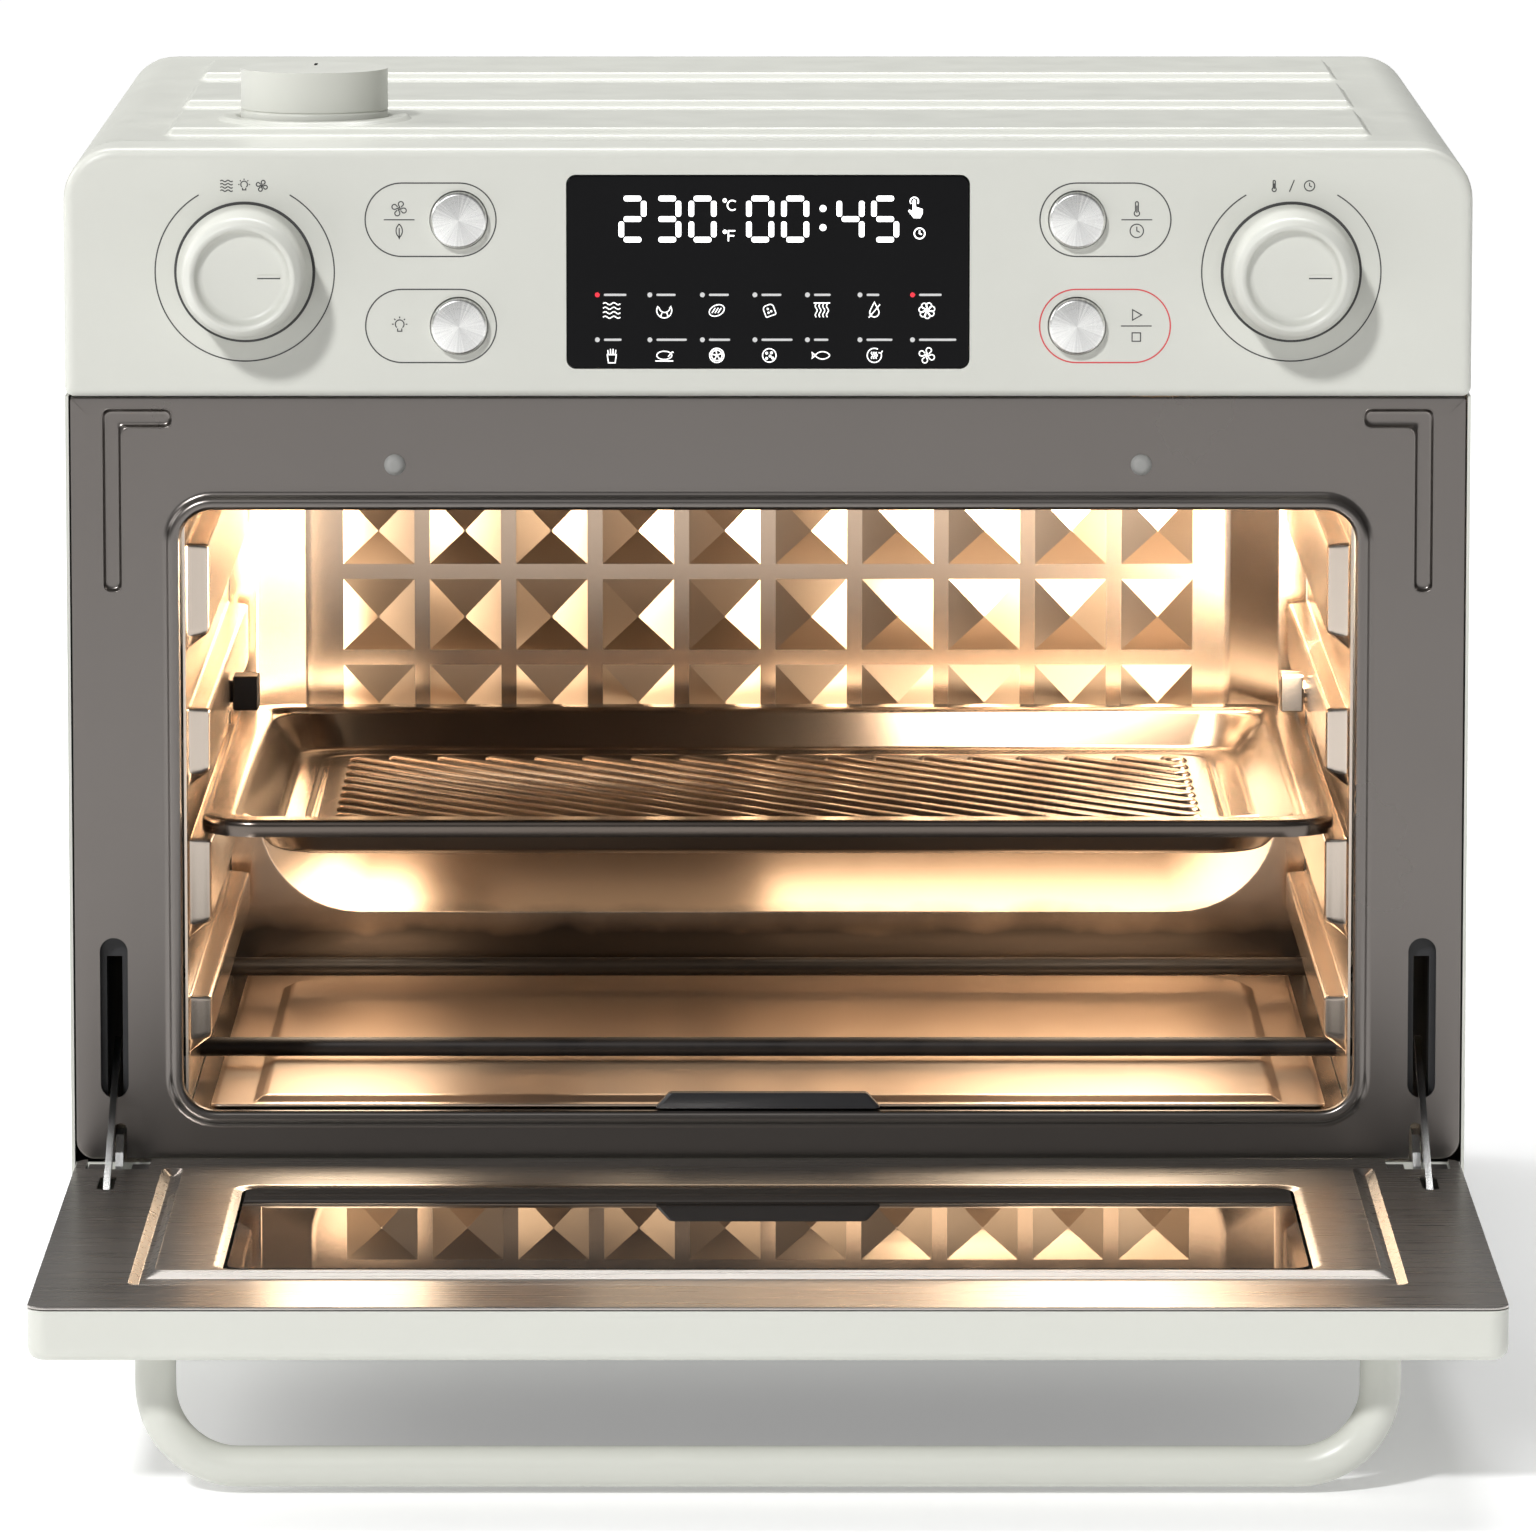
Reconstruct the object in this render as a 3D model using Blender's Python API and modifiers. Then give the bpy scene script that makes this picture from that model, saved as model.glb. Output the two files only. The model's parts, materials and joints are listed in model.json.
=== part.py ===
"""Countertop convection oven with a drop-down door, modelled piece by piece, with the door open.

Sizes are millimetres from two datums: y = 0 is the face of the front frame, with +y towards the
back, and z = 0 is the inner face of the open door. `at` turns such a point into metres in the
world frame, whose origin is the middle of the footprint on the table, with the front towards -Y.
"""

import math

import bmesh
import bpy
from mathutils import Matrix, Vector

MM = 0.001
GAP = 0.3
CORNER_STEPS = 4
SMOOTH_ANGLE = math.radians(35)

# The body's outside.
HALF_WIDTH = 215.5
TABLE_Z = -61.0
BASE_Z = -41.0
TOP_Z = 313.0
CASING_BACK_Y = 350.0
COVER_BACK_Y = 358.0
GLAND_BACK_Y = 366.0
CASING_SHEET = 1.0
CASING_RADIUS = 16.0
PLATEAU_HALF_WIDTH = 187.0
PLATEAU_RISE = 2.5
PLATEAU_SLOPE = 3.0
PLATEAUS_Y = ((42.0, 105.0), (145.0, 211.0), (254.0, 304.0))

# The control panel and what it carries.
PANEL_BOTTOM_Z = 236.5
PANEL_FACE_Y = -3.0
PANEL_BACK_Y = 22.0
PANEL_WALL = 2.4
PANEL_EDGE = 3.5
KNOB_X = 160.0
KNOB_Z = 275.0
KNOB_HEIGHT = 20.5
BUTTON_X = 94.5
BUTTON_ROWS_Z = (291.0, 258.4)
BUTTON_RADIUS = 8.6
BUTTON_TRAVEL = 1.2
DISPLAY_HALF_WIDTH = 61.7
DISPLAY_Z = (245.2, 304.8)
BOARD_Y = 10.0

# The front frame and the oven opening.
FRAME_HALF_WIDTH = 214.2
FRAME_Z = (-1.0, 236.2)
OPENING_HALF_WIDTH = 180.6
OPENING_Z = (14.4, 201.4)
RIM_PROUD = 2.0
BUMPER_X = 114.5
BUMPER_Z = 215.3

# The cavity.
WALL_X = 179.2
CAVITY_FRONT_Y = 1.5
CAVITY_BACK_Y = 276.0
CAVITY_Z = (14.4, 213.5)
CAVITY_SHEET = 0.8
RIDGE_DEPTH = 7.0
RIDGES_Z = ((31.0, 49.0), (67.0, 98.2), (114.0, 139.0), (157.0, 190.0))
RIDGES_Y = (8.0, 266.0)
PYRAMID_PITCH = 28.8
PYRAMID_BASE = 23.0
PYRAMID_HEIGHT = 6.0
PYRAMID_COLUMNS = 10
PYRAMID_ROWS = 5
PYRAMID_LOWEST_Z = 74.3
DISH_DEPTH = 10.0
HEATER_RADIUS = 3.0
UPPER_HEATER_Z = 203.0
HEATERS = (
    ("lower_front_heater", 75.0, 21.6),
    ("lower_rear_heater", 212.0, 25.0),
    ("upper_front_heater", 55.0, UPPER_HEATER_Z),
    ("upper_rear_heater", 212.0, UPPER_HEATER_Z),
)
SPIT_Y = 140.0
SPIT_Z = 126.0
SPIT_HALF_SIDE = 5.5
SPIT_END_X = 163.0
FAN_Y = 138.0
FAN_RADIUS = 58.0
LAMP_X = 125.0
VENT_X = -141.5
VENT_Y = 74.0

# The trays.
TRAY_RIM_Z = 104.5
CRUMB_TRAY_Z = 15.7

# The door, lying open.
DOOR_HALF_WIDTH = 213.5
DOOR_Y = (-246.0, -5.0)
DOOR_THICKNESS = 16.2
DOOR_EDGE = 5.0
DOOR_WALL = 2.0
WINDOW_HALF_WIDTH = 160.0
WINDOW_Y = (-185.5, -51.8)
HINGE_X = 200.3
HINGE_Y = -8.0
HINGE_Z = -5.0
HANDLE_X = 178.0
HANDLE_Y = -215.0
HANDLE_BAR_Z = -53.0
HANDLE_RADIUS = 6.0
HANDLE_BEND = 24.0

# The check links that stop the door at level.
LINK_X = 202.0
LINK_EYE_Y = -50.0
LINK_EYE_Z = -4.5
LINK_LENGTH = 80.0
LINK_ANGLE = math.radians(27.5)
LINK_SLOT_Z = (18.2, 68.3)
LINK_SLOT_HALF_WIDTH = 4.3

WORLD_SHIFT = Vector((0, -(DOOR_Y[0] + GLAND_BACK_Y) / 2, -TABLE_Z))
FACING_UP = Matrix.Identity(4)
FACING_DOWN = Matrix.Rotation(math.pi, 4, "X")
FACING_FRONT = Matrix.Rotation(math.pi / 2, 4, "X")
FACING_BACK = Matrix.Rotation(math.pi, 4, "Z") @ FACING_FRONT
FACING_RIGHT = Matrix.Rotation(math.pi / 2, 4, "Z") @ FACING_FRONT
SIDES = (("left", -1), ("right", 1))


def at(x, y, z):
    return (Vector((x, y, z)) + WORLD_SHIFT) * MM


def new_collection(name):
    made = bpy.data.collections.new(name)
    bpy.context.scene.collection.children.link(made)
    return made


def finish(name, colour, roughness, metallic, alpha=1.0):
    """A Principled material."""
    made = bpy.data.materials.new(name)
    made.use_nodes = True
    shader = made.node_tree.nodes["Principled BSDF"]
    shader.inputs["Base Color"].default_value = (*colour, 1)
    shader.inputs["Roughness"].default_value = roughness
    shader.inputs["Metallic"].default_value = metallic
    shader.inputs["Alpha"].default_value = alpha
    made.diffuse_color = (*colour, alpha)
    return made


for old in list(bpy.data.objects):
    bpy.data.objects.remove(old)

PIECES = new_collection("toaster_oven")
CUTTERS = new_collection("cutters")

WHITE_PAINT = finish("white_paint", (0.72, 0.73, 0.68), 0.38, 0.0)
WHITE_PLASTIC = finish("white_plastic", (0.74, 0.75, 0.70), 0.35, 0.0)
BRUSHED_STEEL = finish("brushed_steel", (0.33, 0.32, 0.30), 0.38, 1.0)
CAVITY_STEEL = finish("cavity_steel", (0.55, 0.50, 0.44), 0.28, 1.0)
TRAY_STEEL = finish("tray_enamel", (0.30, 0.28, 0.26), 0.35, 0.8)
HEATER_STEEL = finish("heater_steel", (0.06, 0.06, 0.07), 0.45, 0.6)
ZINC = finish("zinc_plate", (0.52, 0.53, 0.54), 0.42, 1.0)
SPUN_ALUMINIUM = finish("spun_aluminium", (0.80, 0.80, 0.78), 0.30, 1.0)
BLACK_PLASTIC = finish("black_plastic", (0.02, 0.02, 0.022), 0.45, 0.0)
RUBBER = finish("grey_rubber", (0.30, 0.30, 0.29), 0.70, 0.0)
CERAMIC = finish("ceramic", (0.80, 0.76, 0.68), 0.55, 0.0)
DISPLAY_GLASS = finish("display_glass", (0.01, 0.01, 0.012), 0.08, 0.0)
CLEAR_GLASS = finish("clear_glass", (0.60, 0.62, 0.60), 0.04, 0.0, 0.3)
CIRCUIT_BOARD = finish("circuit_board", (0.03, 0.16, 0.07), 0.45, 0.0)


def as_object(name, shape, origin, material, turn=FACING_UP):
    """Makes the object of a bmesh that is in millimetres about `origin`."""
    bmesh.ops.scale(shape, vec=(MM, MM, MM), verts=shape.verts)
    mesh = bpy.data.meshes.new(name)
    shape.to_mesh(mesh)
    shape.free()
    mesh.shade_smooth()
    mesh.set_sharp_from_angle(angle=SMOOTH_ANGLE)
    mesh.materials.append(material)
    made = bpy.data.objects.new(name, mesh)
    made.matrix_world = Matrix.Translation(at(*origin)) @ turn
    PIECES.objects.link(made)
    return made


def as_helper(helper):
    """Moves an object among the cutters, so that it is no piece of its own."""
    PIECES.objects.unlink(helper)
    CUTTERS.objects.link(helper)
    helper.hide_render = True
    helper.display_type = "WIRE"
    return helper


def combine(piece, helper, operation):
    modifier = piece.modifiers.new(helper.name, "BOOLEAN")
    modifier.operation = operation
    modifier.solver = "EXACT"
    modifier.object = as_helper(helper)
    return piece


def cut(piece, *cutters):
    for cutter in cutters:
        combine(piece, cutter, "DIFFERENCE")
    return piece


def join(piece, *others):
    for other in others:
        combine(piece, other, "UNION")
    return piece


def soften(piece, width, segments=2):
    """Rounds a piece's sharp edges."""
    modifier = piece.modifiers.new("rounded_edges", "BEVEL")
    modifier.width = width * MM
    modifier.segments = segments
    modifier.limit_method = "ANGLE"
    modifier.angle_limit = SMOOTH_ANGLE
    return piece


def repeat(piece, count, step):
    """Repeats a piece along a step in millimetres."""
    modifier = piece.modifiers.new("repeat", "ARRAY")
    modifier.count = count
    modifier.use_relative_offset = False
    modifier.use_constant_offset = True
    modifier.constant_offset_displace = Vector(step) * MM
    modifier.merge_threshold = 0.0001
    return piece


def box(name, low, high, material):
    low = Vector(low)
    high = Vector(high)
    shape = bmesh.new()
    bmesh.ops.create_cube(shape, size=1)
    bmesh.ops.scale(shape, vec=high - low, verts=shape.verts)
    return as_object(name, shape, (low + high) / 2, material)


def cylinder(name, centre, turn, radius, length, material, sides=24):
    """A cylinder whose axis is local Z, turned to face a direction."""
    shape = bmesh.new()
    bmesh.ops.create_cone(
        shape, cap_ends=True, segments=sides, radius1=radius, radius2=radius, depth=length
    )
    return as_object(name, shape, centre, material, turn)


def turned(name, origin, turn, profile, material, steps=40, closed=False):
    """Turns a profile of (radius, height) points, which runs down the outer side, about local Z."""
    shape = bmesh.new()
    points = [shape.verts.new((radius, 0, height)) for radius, height in profile]
    for first, second in zip(points, points[1:]):
        shape.edges.new((first, second))
    if closed:
        shape.edges.new((points[-1], points[0]))
    made = as_object(name, shape, origin, material, turn)
    screw = made.modifiers.new("turn", "SCREW")
    screw.steps = steps
    screw.render_steps = steps
    screw.use_merge_vertices = True
    screw.merge_threshold = 0.00001
    screw.use_smooth_shade = True
    return made


def prism(name, outline, turn, low, high, material):
    """Extrudes an outline in the local XY plane from height `low` to `high` along local Z."""
    shape = bmesh.new()
    face = shape.faces.new([shape.verts.new((u, v, low)) for u, v in outline])
    face.normal_update()
    swept = bmesh.ops.extrude_face_region(shape, geom=[face])["geom"]
    top = [item for item in swept if isinstance(item, bmesh.types.BMVert)]
    bmesh.ops.translate(shape, vec=(0, 0, high - low), verts=top)
    bmesh.ops.recalc_face_normals(shape, faces=shape.faces)
    return as_object(name, shape, (0, 0, 0), material, turn)


def bar(name, outline, x_low, x_high, material):
    """Extrudes an outline of (y, z) points along x."""
    return prism(name, outline, FACING_RIGHT, x_low, x_high, material)


def arc(centre, radius, start, end, steps):
    """Points of an arc, with its angles in degrees."""
    points = []
    for step in range(steps + 1):
        angle = math.radians(start + (end - start) * step / steps)
        points.append(
            (centre[0] + radius * math.cos(angle), centre[1] + radius * math.sin(angle))
        )
    return points


def rounded_rectangle(u, v, low_radius, high_radius=None):
    """Anticlockwise points; `u` and `v` are (low, high), and the radii are those at low and high v."""
    high_radius = low_radius if high_radius is None else high_radius
    corners = (
        (u[0] + low_radius, v[0] + low_radius, low_radius, 180),
        (u[1] - low_radius, v[0] + low_radius, low_radius, 270),
        (u[1] - high_radius, v[1] - high_radius, high_radius, 0),
        (u[0] + high_radius, v[1] - high_radius, high_radius, 90),
    )
    points = []
    for centre_u, centre_v, radius, start in corners:
        points += arc((centre_u, centre_v), radius, start, start + 90, CORNER_STEPS)
    return points


def inset_ring(half_u, v, radii, inset, height):
    """A ring for `pressed`: a rounded rectangle drawn in by `inset`, at a height."""
    radii = [max(radius - inset, 0.4) for radius in radii]
    outline = rounded_rectangle(
        (-half_u + inset, half_u - inset), (v[0] + inset, v[1] - inset), *radii
    )
    return [(u, w, height) for u, w in outline]


def pressed(name, origin, turn, rings, thickness, material, closed=True):
    """A sheet pressed through rings that run from its outer edge to its middle, thickened inwards."""
    shape = bmesh.new()
    loops = [[shape.verts.new(point) for point in ring] for ring in rings]
    for outer, inner in zip(loops, loops[1:]):
        for index, vertex in enumerate(outer):
            following = (index + 1) % len(outer)
            shape.faces.new((vertex, outer[following], inner[following], inner[index]))
    if closed:
        shape.faces.new(loops[-1])
    made = as_object(name, shape, origin, material, turn)
    solidify = made.modifiers.new("sheet", "SOLIDIFY")
    solidify.thickness = thickness * MM
    solidify.offset = -1
    solidify.use_even_offset = True
    return made


def wire(name, path, radius, material, resolution=2):
    """A round bar along a polyline."""
    curve = bpy.data.curves.new(name, "CURVE")
    curve.dimensions = "3D"
    curve.bevel_depth = radius * MM
    curve.bevel_resolution = resolution
    curve.use_fill_caps = True
    spline = curve.splines.new("POLY")
    spline.points.add(len(path) - 1)
    for point, place in zip(spline.points, path):
        point.co = (*(Vector(place) * MM), 1)
    curve.materials.append(material)
    made = bpy.data.objects.new(name, curve)
    made.location = at(0, 0, 0)
    PIECES.objects.link(made)
    return made


def moving(name, origin, *pieces):
    """Hangs pieces on an empty at their joint."""
    axis = bpy.data.objects.new(name, None)
    axis.location = at(*origin)
    axis.empty_display_size = 0.02
    PIECES.objects.link(axis)
    for piece in pieces:
        piece.parent = axis
        piece.matrix_parent_inverse = Matrix.Translation(at(*origin)).inverted()


# ---- casing ----


def make_outer_casing():
    """The wrap: two sides and a top, with three raised plateaus and a ring round the steam vent."""
    centre_z = TOP_Z - CASING_RADIUS
    centre_x = HALF_WIDTH - CASING_RADIUS
    profile = [(-HALF_WIDTH, BASE_Z + 1)]
    profile += arc((-centre_x, centre_z), CASING_RADIUS, 180, 90, 5)
    profile += arc((centre_x, centre_z), CASING_RADIUS, 90, 0, 5)
    profile += [(HALF_WIDTH, BASE_Z + 1)]
    shape = bmesh.new()
    front = [shape.verts.new((x, 0, z)) for x, z in profile]
    back = [shape.verts.new((x, CASING_BACK_Y, z)) for x, z in profile]
    for index in range(len(profile) - 1):
        shape.faces.new((front[index], front[index + 1], back[index + 1], back[index]))
    emboss_plateaus(shape)
    casing = as_object("outer_casing", shape, (0, 0, 0), WHITE_PAINT)
    solidify = casing.modifiers.new("sheet", "SOLIDIFY")
    solidify.thickness = CASING_SHEET * MM
    solidify.offset = -1
    panel_notch = box(
        "panel_notch",
        (-HALF_WIDTH - 5, -5, PANEL_BOTTOM_Z - GAP),
        (HALF_WIDTH + 5, PANEL_BACK_Y + GAP, TOP_Z + 5),
        WHITE_PAINT,
    )
    vent_hole = cylinder("vent_hole", (VENT_X, VENT_Y, TOP_Z), FACING_UP, 15.5, 20, WHITE_PAINT)
    cut(casing, panel_notch, vent_hole, *side_louvres())
    ring_profile = ((28.8, 1.2), (30.2, -0.5), (23.6, -0.5), (24.4, 1.2))
    ring_origin = (VENT_X, VENT_Y, TOP_Z + PLATEAU_RISE)
    return join(
        casing, turned("vent_ring", ring_origin, FACING_UP, ring_profile, WHITE_PAINT, 40, True)
    )


def emboss_plateaus(shape):
    """Raises the plateaus from the top, with sloping sides."""
    inner_x = PLATEAU_HALF_WIDTH - PLATEAU_SLOPE
    cuts = [((1, 0, 0), x) for x in (-PLATEAU_HALF_WIDTH, -inner_x, inner_x, PLATEAU_HALF_WIDTH)]
    for low_y, high_y in PLATEAUS_Y:
        places = (low_y - PLATEAU_SLOPE, low_y, high_y, high_y + PLATEAU_SLOPE)
        cuts += [((0, 1, 0), y) for y in places]
    for normal, place in cuts:
        bmesh.ops.bisect_plane(
            shape,
            geom=shape.verts[:] + shape.edges[:] + shape.faces[:],
            plane_co=Vector(normal) * place,
            plane_no=normal,
        )
    margin = 0.01
    for vertex in shape.verts:
        x, y, z = vertex.co
        on_top = z > TOP_Z - margin and abs(x) < inner_x + margin
        if on_top and any(low - margin < y < high + margin for low, high in PLATEAUS_Y):
            vertex.co.z += PLATEAU_RISE


def side_louvres():
    """Two blocks of cooling slots, cut through both sides above the cavity."""
    louvres = []
    for name, low_y in (("front_louvres", 150.0), ("rear_louvres", 235.0)):
        slot = box(
            name, (-HALF_WIDTH - 5, low_y, 238), (HALF_WIDTH + 5, low_y + 65, 241), WHITE_PAINT
        )
        louvres.append(repeat(slot, 6, (0, 0, 8)))
    return louvres


def make_rear_cover():
    """A pressed cover with vents, held by six pan-head screws that are one with it here."""
    half_width = HALF_WIDTH - GAP
    span = (BASE_Z + 1, TOP_Z - GAP)
    front = CASING_BACK_Y + GAP
    edge = 4.0
    rings = [inset_ring(half_width, span, (2, CASING_RADIUS), 0, front)]
    rings += edge_rings(half_width, span, (2, CASING_RADIUS), edge, COVER_BACK_Y)
    cover = pressed("rear_cover", (0, 0, 0), FACING_BACK, rings, 1.2, ZINC)
    slots = []
    for name, low_z, count in (("upper_vents", 238.0, 7), ("lower_vents", 30.0, 5)):
        slot = box(name, (-120, COVER_BACK_Y - 5, low_z), (-20, COVER_BACK_Y + 5, low_z + 3), ZINC)
        repeat(slot, 2, (140, 0, 0))
        slots.append(repeat(slot, count, (0, 0, 8)))
    cut(cover, *slots)
    screw_profile = ((0, 2), (2.2, 1.8), (3.4, 0.8), (3.6, -0.5), (0, -0.5))
    for row, z in enumerate((-28, 130, 288)):
        for side, sign in SIDES:
            place = (sign * 200, COVER_BACK_Y, z)
            join(cover, turned(f"screw_{side}_{row}", place, FACING_BACK, screw_profile, ZINC, 12))
    return cover


def edge_rings(half_u, v, radii, edge, height, steps=3):
    """Rings of a quarter-round edge that ends at a height."""
    rings = []
    for step in range(steps + 1):
        angle = math.pi / 2 * step / steps
        drop = edge * (1 - math.sin(angle))
        rings.append(inset_ring(half_u, v, radii, edge * (1 - math.cos(angle)), height - drop))
    return rings


def make_base_plate():
    half_width = HALF_WIDTH - CASING_SHEET - GAP
    span = (2 - CASING_BACK_Y, -2)
    radii = (6, 6)
    rings = [
        inset_ring(half_width, span, radii, 0, -BASE_Z - 10),
        inset_ring(half_width, span, radii, 0, -BASE_Z - 2),
        inset_ring(half_width, span, radii, 2, -BASE_Z),
    ]
    base = pressed("base_plate", (0, 0, 0), FACING_DOWN, rings, 1.0, ZINC)
    slot = box("base_vents", (-110, 120, BASE_Z - 5), (-30, 124, BASE_Z + 5), ZINC)
    repeat(slot, 2, (140, 0, 0))
    return cut(base, repeat(slot, 8, (0, 12, 0)))


def make_lower_front_panel():
    """The strip under the open door."""
    panel = box(
        "lower_front_panel",
        (-FRAME_HALF_WIDTH, 0, BASE_Z + 1),
        (FRAME_HALF_WIDTH, 1.2, FRAME_Z[0] - 1),
        WHITE_PAINT,
    )
    return panel


def make_feet():
    profile = ((0, 0), (13, 0), (14, -1), (12, -19), (11, -19.7), (0, -19.7))
    for row, y in (("front", 34), ("rear", 312)):
        for side, sign in SIDES:
            origin = (sign * 182, y, BASE_Z - GAP)
            turned(f"{row}_{side}_foot", origin, FACING_UP, profile, RUBBER, 28)


def make_cord_gland():
    profile = ((0, 7.7), (5, 7.7), (6.5, 4), (9, 3), (9, 0), (0, 0))
    origin = (150, COVER_BACK_Y + GAP, -8)
    return turned("cord_gland", origin, FACING_BACK, profile, BLACK_PLASTIC, 24)


# ---- control panel ----


def make_control_panel():
    span = (PANEL_BOTTOM_Z, TOP_Z)
    radii = (3, CASING_RADIUS)
    rings = [inset_ring(HALF_WIDTH, span, radii, 0, -PANEL_BACK_Y)]
    rings += edge_rings(HALF_WIDTH, span, radii, PANEL_EDGE, -PANEL_FACE_Y)
    panel = pressed("control_panel", (0, 0, 0), FACING_FRONT, rings, PANEL_WALL, WHITE_PLASTIC)
    window = prism(
        "display_hole",
        rounded_rectangle((-DISPLAY_HALF_WIDTH, DISPLAY_HALF_WIDTH), DISPLAY_Z, 3),
        FACING_FRONT,
        -6,
        10,
        WHITE_PLASTIC,
    )
    holes = [window]
    for side, sign in SIDES:
        centre = (sign * KNOB_X, PANEL_FACE_Y, KNOB_Z)
        holes.append(cylinder(f"shaft_hole_{side}", centre, FACING_FRONT, 4, 16, WHITE_PLASTIC))
        for row, z in enumerate(BUTTON_ROWS_Z):
            centre = (sign * BUTTON_X, PANEL_FACE_Y, z)
            hole = cylinder(
                f"button_hole_{side}_{row}",
                centre,
                FACING_FRONT,
                BUTTON_RADIUS + 0.4,
                16,
                WHITE_PLASTIC,
                40,
            )
            holes.append(hole)
    return cut(panel, *holes)


def make_display_window():
    outline = rounded_rectangle(
        (-DISPLAY_HALF_WIDTH + GAP, DISPLAY_HALF_WIDTH - GAP),
        (DISPLAY_Z[0] + GAP, DISPLAY_Z[1] - GAP),
        2.7,
    )
    window = prism("display_window", outline, FACING_FRONT, 0.6, 3.3, DISPLAY_GLASS)
    soften(window, 0.3, 1)
    return window


def make_control_board():
    """The board behind the panel, with its display block and four push switches."""
    board = box("control_board", (-186, BOARD_Y, 245), (186, BOARD_Y + 1.6, 304), CIRCUIT_BOARD)
    join(board, box("display_block", (-56, 0, 248), (56, BOARD_Y + 1, 302), CIRCUIT_BOARD))
    for row, z in enumerate(BUTTON_ROWS_Z):
        for side, sign in SIDES:
            x = sign * BUTTON_X
            low = (x - 3, BOARD_Y - 1.3, z - 3)
            high = (x + 3, BOARD_Y + 0.5, z + 3)
            join(board, box(f"push_switch_{side}_{row}", low, high, CIRCUIT_BOARD))
    return board


def make_encoder(name, x):
    body = box(
        name,
        (x - 7, 2.5, KNOB_Z - 7),
        (x + 7, BOARD_Y - GAP, KNOB_Z + 7),
        ZINC,
    )
    shaft = cylinder(f"{name}_shaft", (x, -6, KNOB_Z), FACING_FRONT, 3, 18, ZINC)
    return join(body, shaft)


def make_knob(name, x):
    """A waisted knob with a dished face, a pointer and a blind bore for the encoder's shaft."""
    profile = [(0, 17.0), (11.8, 17.0)]
    profile += [(13.4, 18.0), (14.4, 20.0), (15.4, KNOB_HEIGHT), (16.6, 20.1)]
    profile += [(17.9, 18.2), (18.8, 14.5), (19.6, 8.0), (20.5, 2.6), (20.8, 0.8), (20.6, 0)]
    profile += [(3.3, 0), (3.3, 13.0), (0, 13.0)]
    origin = (x, PANEL_FACE_Y - GAP, KNOB_Z)
    knob = turned(name, origin, FACING_FRONT, profile, WHITE_PLASTIC, 48)
    face_y = origin[1] - 17.0
    pointer = box(
        f"{name}_pointer",
        (x + 3.8, face_y - 0.6, KNOB_Z - 0.6),
        (x + 11.0, face_y + 0.6, KNOB_Z + 0.6),
        WHITE_PLASTIC,
    )
    join(knob, pointer)
    moving(f"{name}_axis", origin, knob)
    return knob


def make_button(name, x, z):
    """A metal cap with a flange that keeps it in the panel and a stem that reaches the switch."""
    stem_end = -(BOARD_Y - 1.3 - BUTTON_TRAVEL - GAP - PANEL_FACE_Y)
    profile = ((0, 3.2), (7.8, 3.2), (BUTTON_RADIUS, 2.4), (BUTTON_RADIUS, -2.8))
    profile += ((10.2, -2.8), (10.2, -4.0), (2, -4.0), (2, stem_end), (0, stem_end))
    origin = (x, PANEL_FACE_Y, z)
    button = turned(name, origin, FACING_FRONT, profile, SPUN_ALUMINIUM, 40)
    moving(f"{name}_slide", origin, button)
    return button


# ---- front frame ----


def make_front_frame():
    """A pressed frame with a raised rim, slots for the hinges and links, and two rubber stops."""
    radii = (6, 1)
    middle_z = (OPENING_Z[0] + OPENING_Z[1]) / 2
    half_height = (OPENING_Z[1] - OPENING_Z[0]) / 2
    rings = [
        inset_ring(FRAME_HALF_WIDTH, FRAME_Z, radii, 0, -4),
        inset_ring(FRAME_HALF_WIDTH, FRAME_Z, radii, 0, -0.5),
        inset_ring(FRAME_HALF_WIDTH, FRAME_Z, radii, 0.5, 0),
    ]
    for outset, height in ((5.4, 0), (4.3, 1.5), (3.3, RIM_PROUD), (1.0, RIM_PROUD), (0, 1.2)):
        span = (middle_z - half_height - outset, middle_z + half_height + outset)
        radius = 10 + outset
        ring = rounded_rectangle(
            (-OPENING_HALF_WIDTH - outset, OPENING_HALF_WIDTH + outset), span, radius
        )
        rings.append([(u, v, height) for u, v in ring])
    rings.append([(u, v, -1.2) for u, v, _ in rings[-1]])
    frame = pressed(
        "front_frame", (0, 0, 0), FACING_FRONT, rings, CAVITY_SHEET, BRUSHED_STEEL, closed=False
    )
    cutters = []
    for side, sign in SIDES:
        cutters.append(link_slot(side, sign))
        cutters.append(hinge_slot(side, sign))
        cutters.append(corner_mark(side, sign))
    cut(frame, *cutters)
    return join(frame, *[bumper(side, sign) for side, sign in SIDES])


def link_slot(side, sign):
    span = (sign * LINK_X - LINK_SLOT_HALF_WIDTH, sign * LINK_X + LINK_SLOT_HALF_WIDTH)
    outline = rounded_rectangle(span, LINK_SLOT_Z, LINK_SLOT_HALF_WIDTH - 0.01)
    return prism(f"link_slot_{side}", outline, FACING_FRONT, -6, 6, BRUSHED_STEEL)


def hinge_slot(side, sign):
    span = (sign * HINGE_X - 1.9, sign * HINGE_X + 1.9)
    outline = rounded_rectangle(span, (FRAME_Z[0] - 2, 10.3), 0.5, 1.85)
    return prism(f"hinge_slot_{side}", outline, FACING_FRONT, -6, 6, BRUSHED_STEEL)


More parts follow.
